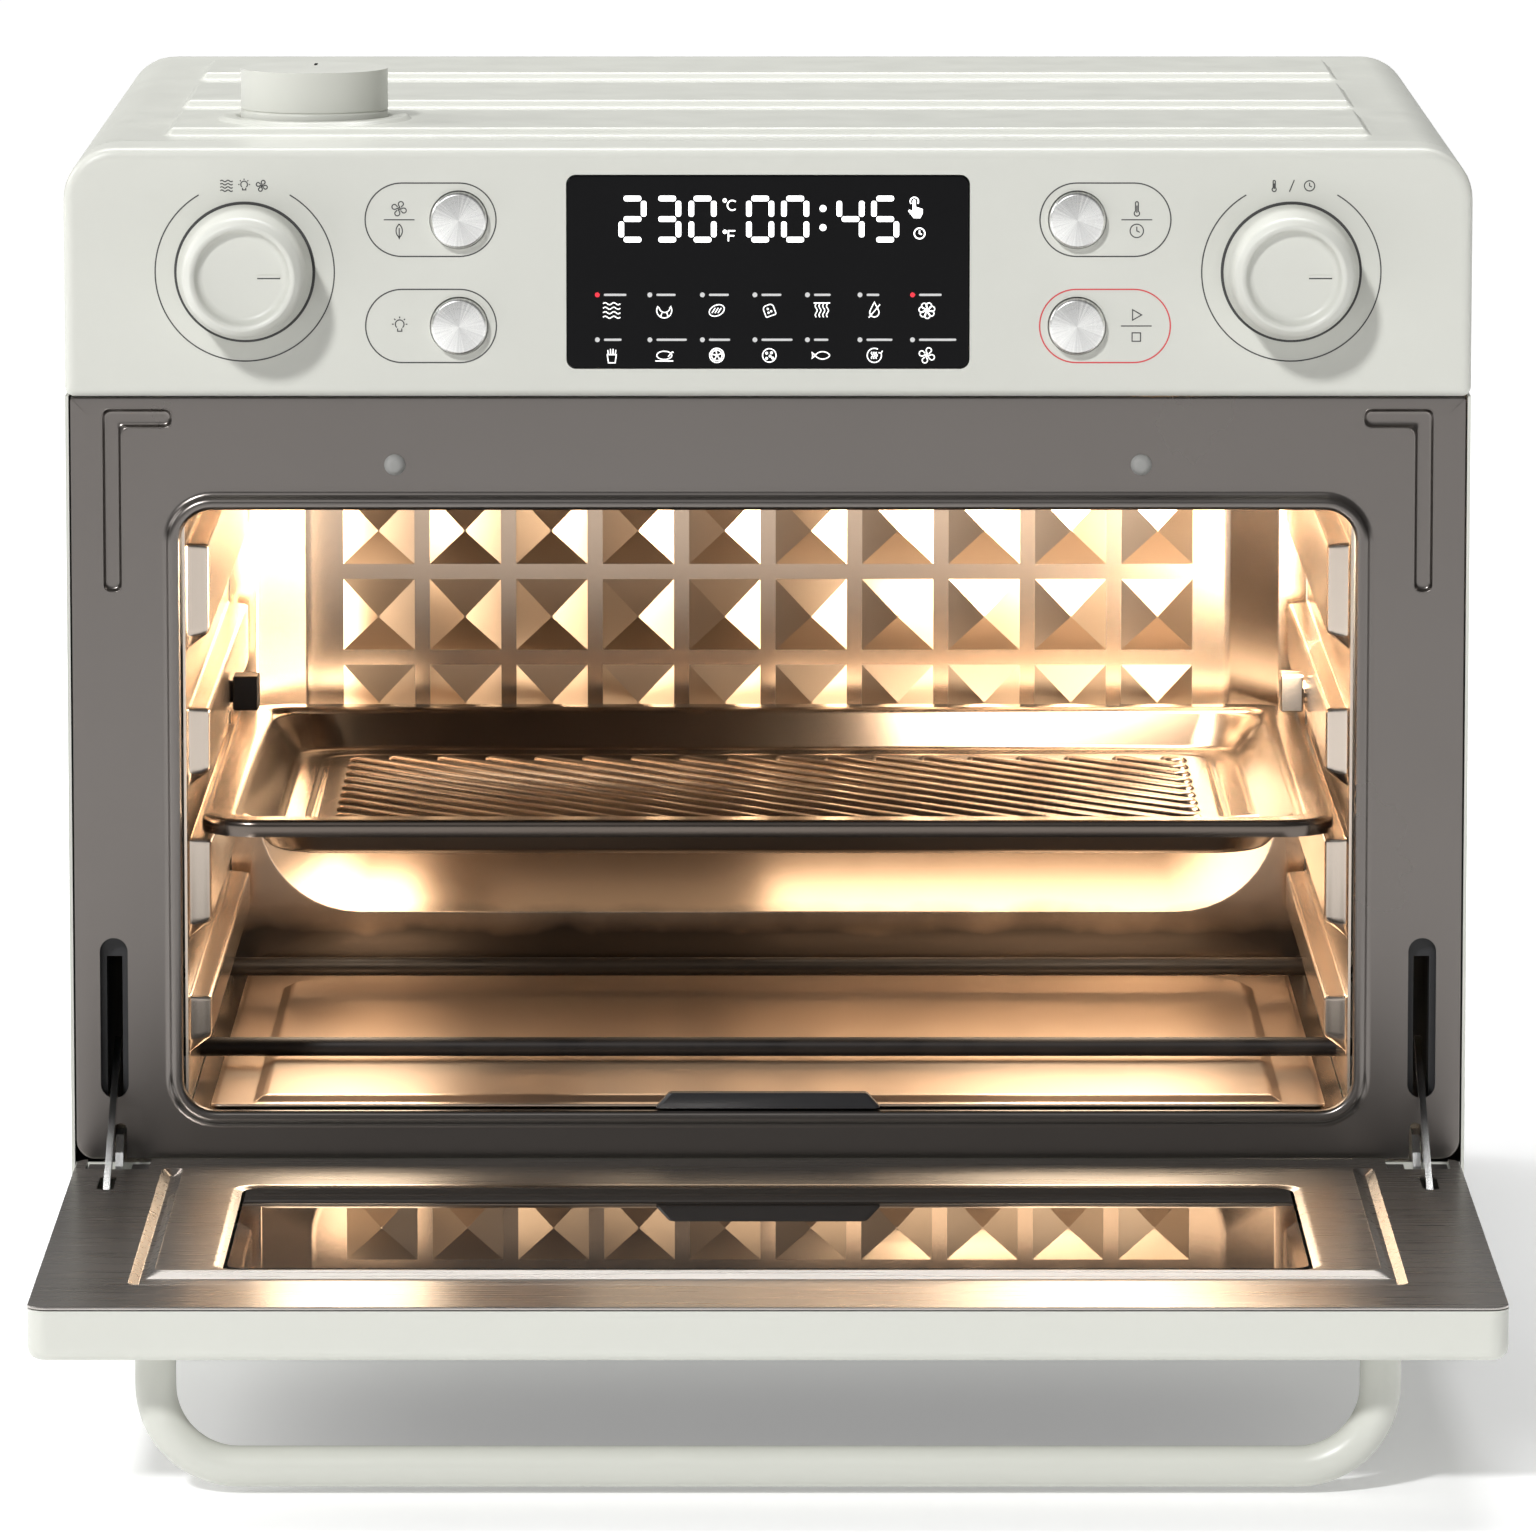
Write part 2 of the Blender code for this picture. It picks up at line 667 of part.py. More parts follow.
def corner_mark(side, sign):
    """The shallow L pressed into each upper corner."""
    outer_x = 204.5
    width = 6.3
    top_z = 232.8
    inner_end_x = 182.5
    low_z = 175.7
    outline = [
        (outer_x, low_z + 2),
        (outer_x, top_z - 1),
        (outer_x - 1, top_z),
        (inner_end_x + 2, top_z),
        (inner_end_x, top_z - 2),
        (inner_end_x, top_z - width + 2),
        (inner_end_x + 2, top_z - width),
        (outer_x - width, top_z - width),
        (outer_x - width, low_z + 2),
        (outer_x - width + 2, low_z),
        (outer_x - 2, low_z),
    ]
    outline = [(sign * x, z) for x, z in outline]
    return prism(f"corner_mark_{side}", outline, FACING_FRONT, -0.4, 3, BRUSHED_STEEL)


def bumper(side, sign):
    """A rubber stop for the closed door, set in the frame."""
    profile = ((0, 2.4), (1.6, 2.2), (2.8, 1.3), (3.3, 0), (3.3, -0.5), (0, -0.5))
    origin = (sign * BUMPER_X, 0, BUMPER_Z)
    return turned(f"door_bumper_{side}", origin, FACING_FRONT, profile, RUBBER, 20)


# ---- cavity ----


def wall_inset(z, y):
    """How far the side wall stands in at a point of its pressing."""
    if not RIDGES_Y[0] < y < RIDGES_Y[1]:
        return 0.0
    for low, high in RIDGES_Z:
        if low < z < high:
            return RIDGE_DEPTH
    return 0.0


def make_side_wall(name, sign):
    """A side wall whose pressed ridges, level on top and sloping below, carry the racks."""
    heights = [CAVITY_Z[0], CAVITY_Z[1]]
    for low, high in RIDGES_Z:
        heights += [low, low + 5, high - 0.6, high]
    heights.sort()
    depths = (CAVITY_FRONT_Y, RIDGES_Y[0], RIDGES_Y[0] + 2, RIDGES_Y[1] - 2, RIDGES_Y[1], 275.2)
    shape = bmesh.new()
    grid = [
        [shape.verts.new((WALL_X - wall_inset(z, y), y, z)) for y in depths] for z in heights
    ]
    for lower, upper in zip(grid, grid[1:]):
        for index in range(len(depths) - 1):
            shape.faces.new(
                (lower[index], lower[index + 1], upper[index + 1], upper[index])[::-1]
            )
    if sign < 0:
        bmesh.ops.scale(shape, vec=(-1, 1, 1), verts=shape.verts)
        bmesh.ops.reverse_faces(shape, faces=shape.faces)
    wall = as_object(name, shape, (0, 0, 0), CAVITY_STEEL)
    solidify = wall.modifiers.new("sheet", "SOLIDIFY")
    solidify.thickness = CAVITY_SHEET * MM
    solidify.offset = -1
    holes = [
        cylinder(f"{name}_hole_{rod}", (sign * 180, y, z), FACING_RIGHT, 4.4, 12, CAVITY_STEEL, 16)
        for rod, y, z in HEATERS
    ]
    spit_centre = (sign * 176, SPIT_Y, SPIT_Z)
    holes.append(
        cylinder(f"{name}_spit_hole", spit_centre, FACING_RIGHT, 4.6, 24, CAVITY_STEEL, 20)
    )
    if sign > 0:
        probe_centre = (sign * 180, 240, UPPER_HEATER_Z)
        holes.append(
            cylinder("probe_hole", probe_centre, FACING_RIGHT, 2.6, 12, CAVITY_STEEL, 12)
        )
    return cut(wall, *holes)


def make_cavity_floor():
    return box(
        "cavity_floor",
        (-WALL_X + GAP, CAVITY_FRONT_Y, CAVITY_Z[0] - 1.0),
        (WALL_X - GAP, CAVITY_BACK_Y - 1, CAVITY_Z[0] - 0.2),
        CAVITY_STEEL,
    )


def make_cavity_ceiling():
    """The roof, with the fan's grille, the lamp's hole and the steam vent's hole."""
    low_z = CAVITY_Z[1] + GAP
    ceiling = box(
        "cavity_ceiling",
        (-WALL_X - 0.8, CAVITY_FRONT_Y, low_z),
        (WALL_X + 0.8, CAVITY_BACK_Y - 1, low_z + CAVITY_SHEET),
        CAVITY_STEEL,
    )
    slot = box("fan_grille", (-62, FAN_Y - 54, low_z - 3), (-58, FAN_Y - 14, low_z + 3), CAVITY_STEEL)
    repeat(slot, 9, (14.5, 0, 0))
    repeat(slot, 2, (0, 68, 0))
    lamp_hole = cylinder("lamp_hole", (LAMP_X, FAN_Y, low_z), FACING_UP, 15, 6, CAVITY_STEEL)
    duct_hole = cylinder("duct_hole", (VENT_X, VENT_Y, low_z), FACING_UP, 15, 6, CAVITY_STEEL)
    return cut(ceiling, slot, lamp_hole, duct_hole)


def make_back_wall():
    """The dished back wall and its grid of pyramids."""
    half_width = WALL_X - GAP
    rings = [
        inset_ring(half_width, CAVITY_Z, (1, 1), 0, 0),
        inset_ring(173, (32, 211), (30, 20), 0, 0),
        inset_ring(151, (56, 205), (18, 14), 0, -DISH_DEPTH),
    ]
    wall = pressed(
        "cavity_back_wall", (0, CAVITY_BACK_Y, 0), FACING_FRONT, rings, CAVITY_SHEET, CAVITY_STEEL
    )
    shape = bmesh.new()
    bmesh.ops.create_cone(
        shape,
        cap_ends=True,
        segments=4,
        radius1=PYRAMID_BASE / math.sqrt(2),
        radius2=0,
        depth=PYRAMID_HEIGHT,
    )
    bmesh.ops.rotate(shape, matrix=Matrix.Rotation(math.pi / 4, 3, "Z"), verts=shape.verts)
    first_x = -PYRAMID_PITCH * (PYRAMID_COLUMNS - 1) / 2
    centre_y = CAVITY_BACK_Y + DISH_DEPTH - PYRAMID_HEIGHT / 2 + 0.4
    origin = (first_x, centre_y, PYRAMID_LOWEST_Z)
    pyramids = as_object("pyramids", shape, origin, CAVITY_STEEL, FACING_FRONT)
    repeat(pyramids, PYRAMID_COLUMNS, (PYRAMID_PITCH, 0, 0))
    repeat(pyramids, PYRAMID_ROWS, (0, PYRAMID_PITCH, 0))
    return join(wall, pyramids)


def make_heaters():
    """Sheathed rods that cross the cavity, each with a ceramic terminal at both ends."""
    for name, y, z in HEATERS:
        rod = cylinder(name, (0, y, z), FACING_RIGHT, HEATER_RADIUS, 382, HEATER_STEEL, 16)
        for side, sign in SIDES:
            centre = (sign * 190, y, z)
            join(rod, cylinder(f"{name}_{side}", centre, FACING_RIGHT, 5, 8, CERAMIC, 12))


def make_fan():
    """The convection fan, its housing on the cavity's roof and its motor."""
    base_z = CAVITY_Z[1] + GAP + CAVITY_SHEET + GAP
    span = (FAN_Y - 80, FAN_Y + 80)
    rings = [
        inset_ring(86, (span[0] - 6, span[1] + 6), (16, 16), 0, CAVITY_SHEET),
        inset_ring(80, span, (10, 10), 0, CAVITY_SHEET),
        inset_ring(80, span, (10, 10), 2, 23),
        inset_ring(80, span, (10, 10), 4, 24),
    ]
    housing = pressed("fan_housing", (0, 0, base_z), FACING_UP, rings, CAVITY_SHEET, ZINC)
    shaft_hole = cylinder("fan_shaft_hole", (0, FAN_Y, base_z + 23), FACING_UP, 5, 8, ZINC)
    cut(housing, shaft_hole)

    hub_z = base_z + 12
    fan = cylinder("convection_fan", (0, FAN_Y, hub_z), FACING_UP, 11, 14, SPUN_ALUMINIUM)
    disc = cylinder("fan_disc", (0, FAN_Y, hub_z + 5), FACING_UP, FAN_RADIUS, 1, SPUN_ALUMINIUM, 40)
    shaft = cylinder("fan_shaft", (0, FAN_Y, hub_z + 13), FACING_UP, 2.5, 16, SPUN_ALUMINIUM, 12)
    join(fan, disc, shaft)
    blade_count = 8
    for blade in range(blade_count):
        shape = bmesh.new()
        bmesh.ops.create_cube(shape, size=1)
        bmesh.ops.scale(shape, vec=(46, 1.2, 10), verts=shape.verts)
        bmesh.ops.translate(shape, vec=(32, 4, 0), verts=shape.verts)
        turn = Matrix.Rotation(2 * math.pi * blade / blade_count, 4, "Z")
        origin = (0, FAN_Y, hub_z)
        join(fan, as_object(f"fan_blade_{blade}", shape, origin, SPUN_ALUMINIUM, turn))
    moving("convection_fan_axis", (0, FAN_Y, hub_z), fan)

    motor_z = base_z + 34
    motor = box("fan_motor", (-24, FAN_Y - 24, motor_z), (24, FAN_Y + 24, motor_z + 20), ZINC)
    soften(motor, 2)
    winding = box(
        "motor_winding", (-32, FAN_Y - 12, motor_z + 3), (32, FAN_Y + 12, motor_z + 17), ZINC
    )
    soften(winding, 4)
    bearing = cylinder("motor_bearing", (0, FAN_Y, motor_z + 18), FACING_UP, 9, 14, ZINC, 20)
    return join(motor, winding, bearing)


def make_lamp():
    cover_profile = (
        (0, -9.0),
        (9.0, -7.6),
        (12.6, -3.6),
        (12.8, 3.0),
        (14.3, 3.0),
        (14.2, -4.0),
        (10.2, -9.4),
        (0, -10.6),
    )
    origin = (LAMP_X, FAN_Y, CAVITY_Z[1] + 0.5)
    turned("lamp_cover", origin, FACING_UP, cover_profile, CLEAR_GLASS, 28)
    lamp_profile = ((0, 40), (9, 40), (9, 20), (4.5, 20), (4.5, 9), (6.8, 3), (6.2, -2.5))
    lamp_profile += ((3.5, -5.5), (0, -6.4))
    return turned("cavity_lamp", origin, FACING_UP, lamp_profile, CERAMIC, 20)


def make_steam_vent():
    """The duct from the cavity's roof, and the cap that turns in the casing above it."""
    low_z = CAVITY_Z[1] + 2 * GAP + CAVITY_SHEET
    high_z = TOP_Z - CASING_SHEET - GAP
    duct_profile = ((17.2, high_z), (17.2, low_z), (16.2, low_z), (16.2, high_z))
    turned("vent_duct", (VENT_X, VENT_Y, 0), FACING_UP, duct_profile, ZINC, 28, closed=True)
    seat_z = TOP_Z + PLATEAU_RISE + GAP
    cap_profile = [(0, 15.6), (20.4, 15.6), (22.0, 15.0), (22.9, 13.6), (23.1, 12), (23.1, 0)]
    cap_profile += [(14.5, 0), (14.5, -14), (12, -14), (12, -3), (0, -3)]
    origin = (VENT_X, VENT_Y, seat_z)
    cap = turned("vent_cap", origin, FACING_UP, cap_profile, WHITE_PLASTIC, 48)
    moving("vent_cap_axis", origin, cap)
    return cap


def make_temperature_probe():
    return cylinder(
        "temperature_probe", (168, 240, UPPER_HEATER_Z), FACING_RIGHT, 2, 40, ZINC, 12
    )


def make_power_board():
    low_z = 240.0
    board = box("power_board", (128, 175, low_z), (200, 300, low_z + 1.6), CIRCUIT_BOARD)
    parts = (
        ("transformer", (136, 185, 30), (166, 220, 24)),
        ("relays", (170, 190, 18), (194, 225, 18)),
        ("filter_coil", (140, 240, 20), (162, 262, 20)),
        ("terminal_strip", (136, 280, 10), (196, 294, 12)),
    )
    for name, (x, y, _), (high_x, high_y, height) in parts:
        low = (x, y, low_z + 1)
        join(board, box(name, low, (high_x, high_y, low_z + 1 + height), CIRCUIT_BOARD))
    return board


# ---- spit drive ----


def make_spit_drive():
    """The square drive on the left wall, turned by a gear motor, and its rest on the right wall."""
    face_x = WALL_X - RIDGE_DEPTH
    drive = box(
        "spit_drive",
        (-face_x + 1, SPIT_Y - SPIT_HALF_SIDE, SPIT_Z - SPIT_HALF_SIDE),
        (-SPIT_END_X, SPIT_Y + SPIT_HALF_SIDE, SPIT_Z + SPIT_HALF_SIDE),
        HEATER_STEEL,
    )
    soften(drive, 0.5, 1)
    shaft = cylinder("spit_shaft", (-177, SPIT_Y, SPIT_Z), FACING_RIGHT, 3.6, 16, HEATER_STEEL, 20)
    join(drive, shaft)
    moving("spit_drive_axis", (-SPIT_END_X, SPIT_Y, SPIT_Z), drive)

    motor = cylinder("spit_motor", (-204, SPIT_Y, SPIT_Z), FACING_RIGHT, 24, 16, ZINC, 32)
    gearbox = cylinder("spit_gearbox", (-191.6, SPIT_Y, SPIT_Z), FACING_RIGHT, 15, 11, ZINC)
    join(motor, gearbox)

    rest = box(
        "spit_rest",
        (SPIT_END_X + 1, SPIT_Y - 6, SPIT_Z - 6),
        (face_x - 1, SPIT_Y + 6, SPIT_Z + 6),
        CAVITY_STEEL,
    )
    soften(rest, 0.5, 1)
    recess = box(
        "rest_recess",
        (SPIT_END_X - 3, SPIT_Y - 3.8, SPIT_Z - 3.8),
        (SPIT_END_X + 4, SPIT_Y + 3.8, SPIT_Z + 3.8),
        CAVITY_STEEL,
    )
    cut(rest, recess)
    stem = cylinder("rest_stem", (176, SPIT_Y, SPIT_Z), FACING_RIGHT, 3.8, 16, CAVITY_STEEL, 16)
    return join(rest, stem)


# ---- trays ----


def make_baking_tray():
    span = (3, 268)
    radii = (18, 18)
    rings = [
        inset_ring(175.4, span, radii, 0, -5.2),
        inset_ring(175.4, span, radii, 0, -1.0),
        inset_ring(175.4, span, radii, 1.0, 0),
        inset_ring(175.4, span, radii, 9.5, 0),
        inset_ring(175.4, span, radii, 11.5, -1.2),
        inset_ring(175.4, span, (24, 24), 21.0, -11.6),
        inset_ring(175.4, span, (24, 24), 23.5, -12.8),
        inset_ring(175.4, span, (26, 26), 29.0, -12.8),
        inset_ring(175.4, span, (26, 26), 30.5, -13.6),
        inset_ring(175.4, span, (26, 26), 32.0, -12.8),
    ]
    tray = pressed("baking_tray", (0, 0, TRAY_RIM_Z), FACING_UP, rings, 0.8, TRAY_STEEL)
    moving("tray_slide", (0, span[0], TRAY_RIM_Z), tray)
    return tray


def make_crumb_tray():
    span = (3.2, 262)
    rings = [
        inset_ring(172.5, span, (3, 3), 0, 0),
        inset_ring(159.5, (4.5, 241), (5, 20), 0, 0),
        inset_ring(159.5, (4.5, 241), (5, 20), 4, 2),
    ]
    tray = pressed("crumb_tray", (0, 0, CRUMB_TRAY_Z), FACING_UP, rings, 0.8, CAVITY_STEEL)
    low_z = CRUMB_TRAY_Z - 0.7
    outline = ((-35, low_z), (35, low_z), (30.5, low_z + 4.9), (-30.5, low_z + 4.9))
    handle = prism("crumb_tray_handle", outline, FACING_FRONT, -2.9, 0.6, BLACK_PLASTIC)
    soften(handle, 0.5, 1)
    moving("crumb_tray_slide", (0, span[0], CRUMB_TRAY_Z), tray, handle)
    return tray


# ---- door ----


def make_door():
    """The door's pieces, lying open: inner sheet, two panes, outer frame, handle and hinge blocks."""
    span = DOOR_Y
    rings = [
        inset_ring(DOOR_HALF_WIDTH, span, (6, 6), 0, -0.4),
        inset_ring(DOOR_HALF_WIDTH, span, (6, 6), 0.4, 0),
        inset_ring(WINDOW_HALF_WIDTH, WINDOW_Y, (6, 6), -1.5, 0),
        inset_ring(WINDOW_HALF_WIDTH, WINDOW_Y, (6, 6), 0, -0.5),
    ]
    inner = pressed(
        "door_inner_sheet", (0, 0, 0), FACING_UP, rings, 0.8, BRUSHED_STEEL, closed=False
    )
    cut(inner, *hinge_pockets("inner"), *link_pockets(), door_channel())

    inset = 4 * GAP
    pane_half_width = WINDOW_HALF_WIDTH - inset
    pane_span = (WINDOW_Y[0] + inset, WINDOW_Y[1] - inset)
    outline = rounded_rectangle((-pane_half_width, pane_half_width), pane_span, 6)
    inner_pane = prism("door_inner_glass", outline, FACING_UP, -4.2, -GAP, CLEAR_GLASS)
    frame = make_door_frame()
    outer_pane = box(
        "door_outer_glass",
        (-WINDOW_HALF_WIDTH - 18, WINDOW_Y[0] - 16, -DOOR_THICKNESS + DOOR_WALL + GAP),
        (WINDOW_HALF_WIDTH + 18, WINDOW_Y[1] + 16, -DOOR_THICKNESS + DOOR_WALL + GAP + 3.4),
        CLEAR_GLASS,
    )
    blocks = [make_hinge_block(side, sign) for side, sign in SIDES]
    pieces = (inner, inner_pane, frame, outer_pane, make_door_handle(), *blocks)
    moving("door_hinge", (0, HINGE_Y, HINGE_Z), *pieces)


def door_channel():
    """The shallow U pressed round three sides of the window."""
    outer = rounded_rectangle((-186, 186), (-210.4, -21), 8, 3)
    shape = prism("door_channel", outer, FACING_UP, -0.4, 4, BRUSHED_STEEL)
    island = prism(
        "channel_island",
        rounded_rectangle((-176, 176), (-188.6, 5), 6, 3),
        FACING_UP,
        -2,
        6,
        BRUSHED_STEEL,
    )
    return cut(shape, island)


def hinge_pockets(owner):
    """Room for each hinge block and for the arm's swing."""
    return [
        box(
            f"{owner}_hinge_pocket_{side}",
            (sign * HINGE_X - 9.8, -23, -12.8),
            (sign * HINGE_X + 9.8, -2, 3),
            BRUSHED_STEEL,
        )
        for side, sign in SIDES
    ]


def link_pockets():
    return [
        box(
            f"link_pocket_{side}",
            (sign * LINK_X - 2.6, LINK_EYE_Y - 8, -10),
            (sign * LINK_X + 2.6, LINK_EYE_Y + 14, 3),
            BRUSHED_STEEL,
        )
        for side, sign in SIDES
    ]


def make_door_frame():
    """The painted outer frame: a pan whose floor is open round the outer pane."""
    span = (-DOOR_Y[1], -DOOR_Y[0])
    window = (-WINDOW_Y[1] - 10, -WINDOW_Y[0] + 10)
    radii = (6, 6)
    low = DOOR_THICKNESS
    rings = [inset_ring(DOOR_HALF_WIDTH, span, radii, 0, 0.4 + 0.8)]
    rings += edge_rings(DOOR_HALF_WIDTH, span, radii, DOOR_EDGE, low)
    rings.append(inset_ring(WINDOW_HALF_WIDTH + 12, window, (8, 8), 0, low))
    rings.append(inset_ring(WINDOW_HALF_WIDTH + 12, window, (8, 8), 0.6, low - 0.6))
    frame = pressed(
        "door_frame", (0, 0, 0), FACING_DOWN, rings, DOOR_WALL, WHITE_PAINT, closed=False
    )
    return cut(frame, *hinge_pockets("frame"))


def make_door_handle():
    """A round bar bent into a bow, with its legs on the door's outer face."""
    top_z = -DOOR_THICKNESS - GAP
    left = arc((-HANDLE_X + HANDLE_BEND, HANDLE_BAR_Z + HANDLE_BEND), HANDLE_BEND, 180, 270, 6)
    bow = [(-HANDLE_X, top_z), *left]
    bow += [(-x, z) for x, z in reversed(bow)]
    path = [(x, HANDLE_Y, z) for x, z in bow]
    return wire("door_handle", path, HANDLE_RADIUS, WHITE_PAINT, 4)


def make_hinge_block(side, sign):
    """A steel block let into the door's edge, with two ears and a pin."""
    x = sign * HINGE_X
    block = box(f"{side}_hinge_block", (x - 9.4, -20.5, -11), (x + 9.4, -5.4, -1.6), ZINC)
    slot = box(f"{side}_block_slot", (x - 4, -18.5, -14), (x + 4, 0, 2), ZINC)
    centre = (x, HINGE_Y, HINGE_Z)
    pin = cylinder(f"{side}_hinge_pin", centre, FACING_RIGHT, 1.8, 17, ZINC, 16)
    return join(cut(block, slot), pin)


def make_hinge_arm(side, sign):
    """A plate that comes out through the front frame and hooks down to the door's pin."""
    eye = arc((HINGE_Y, HINGE_Z), 4.0, 118, 330, 8)
    outline = [*eye, (-2.6, -1.0), (-1.5, -0.4), (26, -0.4), (26, 8.4), (2, 8.4), (-1.5, 7), (-8, 2.5)]
    x = sign * HINGE_X
    arm = bar(f"{side}_hinge_arm", outline, x - 1.2, x + 1.2, ZINC)
    bore = cylinder(
        f"{side}_arm_bore", (x, HINGE_Y, HINGE_Z), FACING_RIGHT, 2.1, 8, ZINC, 24
    )
    return cut(arm, bore)


def make_link(side, sign):
    """The flat check link, hooked on the door and running in through the frame's slot."""
    half_width = 2.0
    inner = arc((LINK_LENGTH, 0), half_width, -90, 90, 4)
    outer = arc((0, 0), half_width, 90, 270, 4)
    outline = [*outer, *inner]
    x = sign * LINK_X
    turn = FACING_RIGHT @ Matrix.Rotation(LINK_ANGLE, 4, "Z")
    link = prism(f"{side}_door_link", outline, turn, -1.0, 1.0, ZINC)
    link.matrix_world = Matrix.Translation(at(x, LINK_EYE_Y, LINK_EYE_Z)) @ turn
    moving(f"{side}_link_pivot", (x, LINK_EYE_Y, LINK_EYE_Z), link)
    return link


def make_link_guide(side, sign):
    """Two black cheeks behind the frame's slot, bridged above the link's path."""
    x = sign * LINK_X
    guide = box(f"{side}_link_guide", (x - 6, 4.5, 12), (x + 6, 15, 76), BLACK_PLASTIC)
    slot = box(f"{side}_guide_slot", (x - 2.4, 0, 5), (x + 2.4, 20, 62), BLACK_PLASTIC)
    return cut(guide, slot)


def make_link_spring(side, sign):
    """The tension spring beside each link: a hook, the coil and a straight tail."""
    x = sign * 191
    z = 34
    start_y, end_y = 34, 150
    coil_radius = 3.2
    turns = 16
    steps = turns * 8
    path = [(sign * 199.6, 22, z), (sign * 194, 22, z), (x, 26, z), (x, 31, z)]
    for step in range(steps + 1):
        angle = 2 * math.pi * turns * step / steps
        y = start_y + (end_y - start_y) * step / steps
        path.append((x + coil_radius * math.cos(angle), y, z + coil_radius * math.sin(angle)))
    path += [(x, end_y + 3, z), (x, end_y + 14, z)]
    return wire(f"{side}_link_spring", path, 0.7, ZINC, 0)


def make_oven():
    make_outer_casing()
    make_rear_cover()
    make_base_plate()
    make_lower_front_panel()
    make_feet()
    make_cord_gland()

    make_control_panel()
    make_display_window()
    make_control_board()
    make_encoder("function_encoder", -KNOB_X)
    make_encoder("setting_encoder", KNOB_X)
    make_knob("function_knob", -KNOB_X)
    make_knob("setting_knob", KNOB_X)
    upper_row, lower_row = BUTTON_ROWS_Z
    make_button("fan_speed_button", -BUTTON_X, upper_row)
    make_button("light_button", -BUTTON_X, lower_row)
    make_button("mode_button", BUTTON_X, upper_row)
    make_button("start_button", BUTTON_X, lower_row)

    make_front_frame()
    make_cavity_floor()
    make_cavity_ceiling()
    make_back_wall()
    for side, sign in SIDES:
        make_side_wall(f"cavity_{side}_wall", sign)
        make_hinge_arm(side, sign)
        make_link(side, sign)
        make_link_guide(side, sign)
        make_link_spring(side, sign)
    make_heaters()
    make_fan()
    make_lamp()
    make_steam_vent()
    make_temperature_probe()
    make_power_board()
    make_spit_drive()

    make_baking_tray()
    make_crumb_tray()
    make_door()


make_oven()
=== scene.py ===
"""The looks of the countertop convection oven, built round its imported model.

Pieces are drawn in millimetres from the datums that the CAD uses: y = 0 is the face of the front
frame, with +y towards the back, and z = 0 is the inner face of the open door.
"""

import json
import math

import bmesh
import bpy
from mathutils import Matrix, Vector

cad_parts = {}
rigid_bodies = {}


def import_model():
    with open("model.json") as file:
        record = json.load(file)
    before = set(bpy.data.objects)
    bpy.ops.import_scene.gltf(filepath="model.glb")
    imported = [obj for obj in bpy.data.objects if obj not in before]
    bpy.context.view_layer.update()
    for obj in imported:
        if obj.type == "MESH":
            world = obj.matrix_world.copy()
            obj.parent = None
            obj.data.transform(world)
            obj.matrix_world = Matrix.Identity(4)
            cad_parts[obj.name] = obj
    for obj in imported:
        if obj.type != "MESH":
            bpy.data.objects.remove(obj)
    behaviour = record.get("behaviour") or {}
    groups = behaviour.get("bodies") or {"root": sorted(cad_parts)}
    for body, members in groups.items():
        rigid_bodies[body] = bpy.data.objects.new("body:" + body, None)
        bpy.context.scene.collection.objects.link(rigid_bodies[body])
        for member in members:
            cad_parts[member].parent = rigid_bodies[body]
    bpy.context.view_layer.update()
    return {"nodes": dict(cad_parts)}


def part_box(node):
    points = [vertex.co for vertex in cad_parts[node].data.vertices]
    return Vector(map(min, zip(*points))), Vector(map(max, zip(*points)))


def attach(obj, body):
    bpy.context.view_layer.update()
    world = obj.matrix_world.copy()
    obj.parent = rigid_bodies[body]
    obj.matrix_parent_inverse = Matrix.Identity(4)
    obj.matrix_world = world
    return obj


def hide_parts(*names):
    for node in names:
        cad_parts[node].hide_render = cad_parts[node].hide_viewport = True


for stray in list(bpy.data.objects):
    bpy.data.objects.remove(stray)

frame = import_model()

MM = 0.001
NODES = frame["nodes"]
BODY = "oven_body"
FRAME_FLANGE = 4.0
DATUM = Vector(
    (0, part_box("front_frame")[1].y - FRAME_FLANGE * MM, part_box("door_inner_sheet")[1].z)
)
SIDES = (("left", -1), ("right", 1))
KNOBS = ("function", "setting")
KEYS = ("fan_speed", "light", "mode", "start")
HEATERS = [f"{level}_{row}_heater" for level in ("lower", "upper") for row in ("front", "rear")]
PLATEAUS = ((42.0, 105.0), (145.0, 211.0), (254.0, 304.0))
PLATEAU_HALF = 187.0
PLATEAU_RISE = 2.5
PLATEAU_SLOPE = 3.2
CORNER_STEPS = 10
FILLET_STEPS = 5
SHARPEST = 0.3
PROUD = 0.02
FILM = 0.04
OPEN_ENDED = {"close_last": False, "looped": False}


def low(node):
    """A CAD node's lowest corner, in millimetres from the datum."""
    return (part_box(node)[0] - DATUM) / MM


def high(node):
    return (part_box(node)[1] - DATUM) / MM


def ends(node):
    return low(node), high(node)


def middle(node):
    return (low(node) + high(node)) / 2


# ---- materials ----


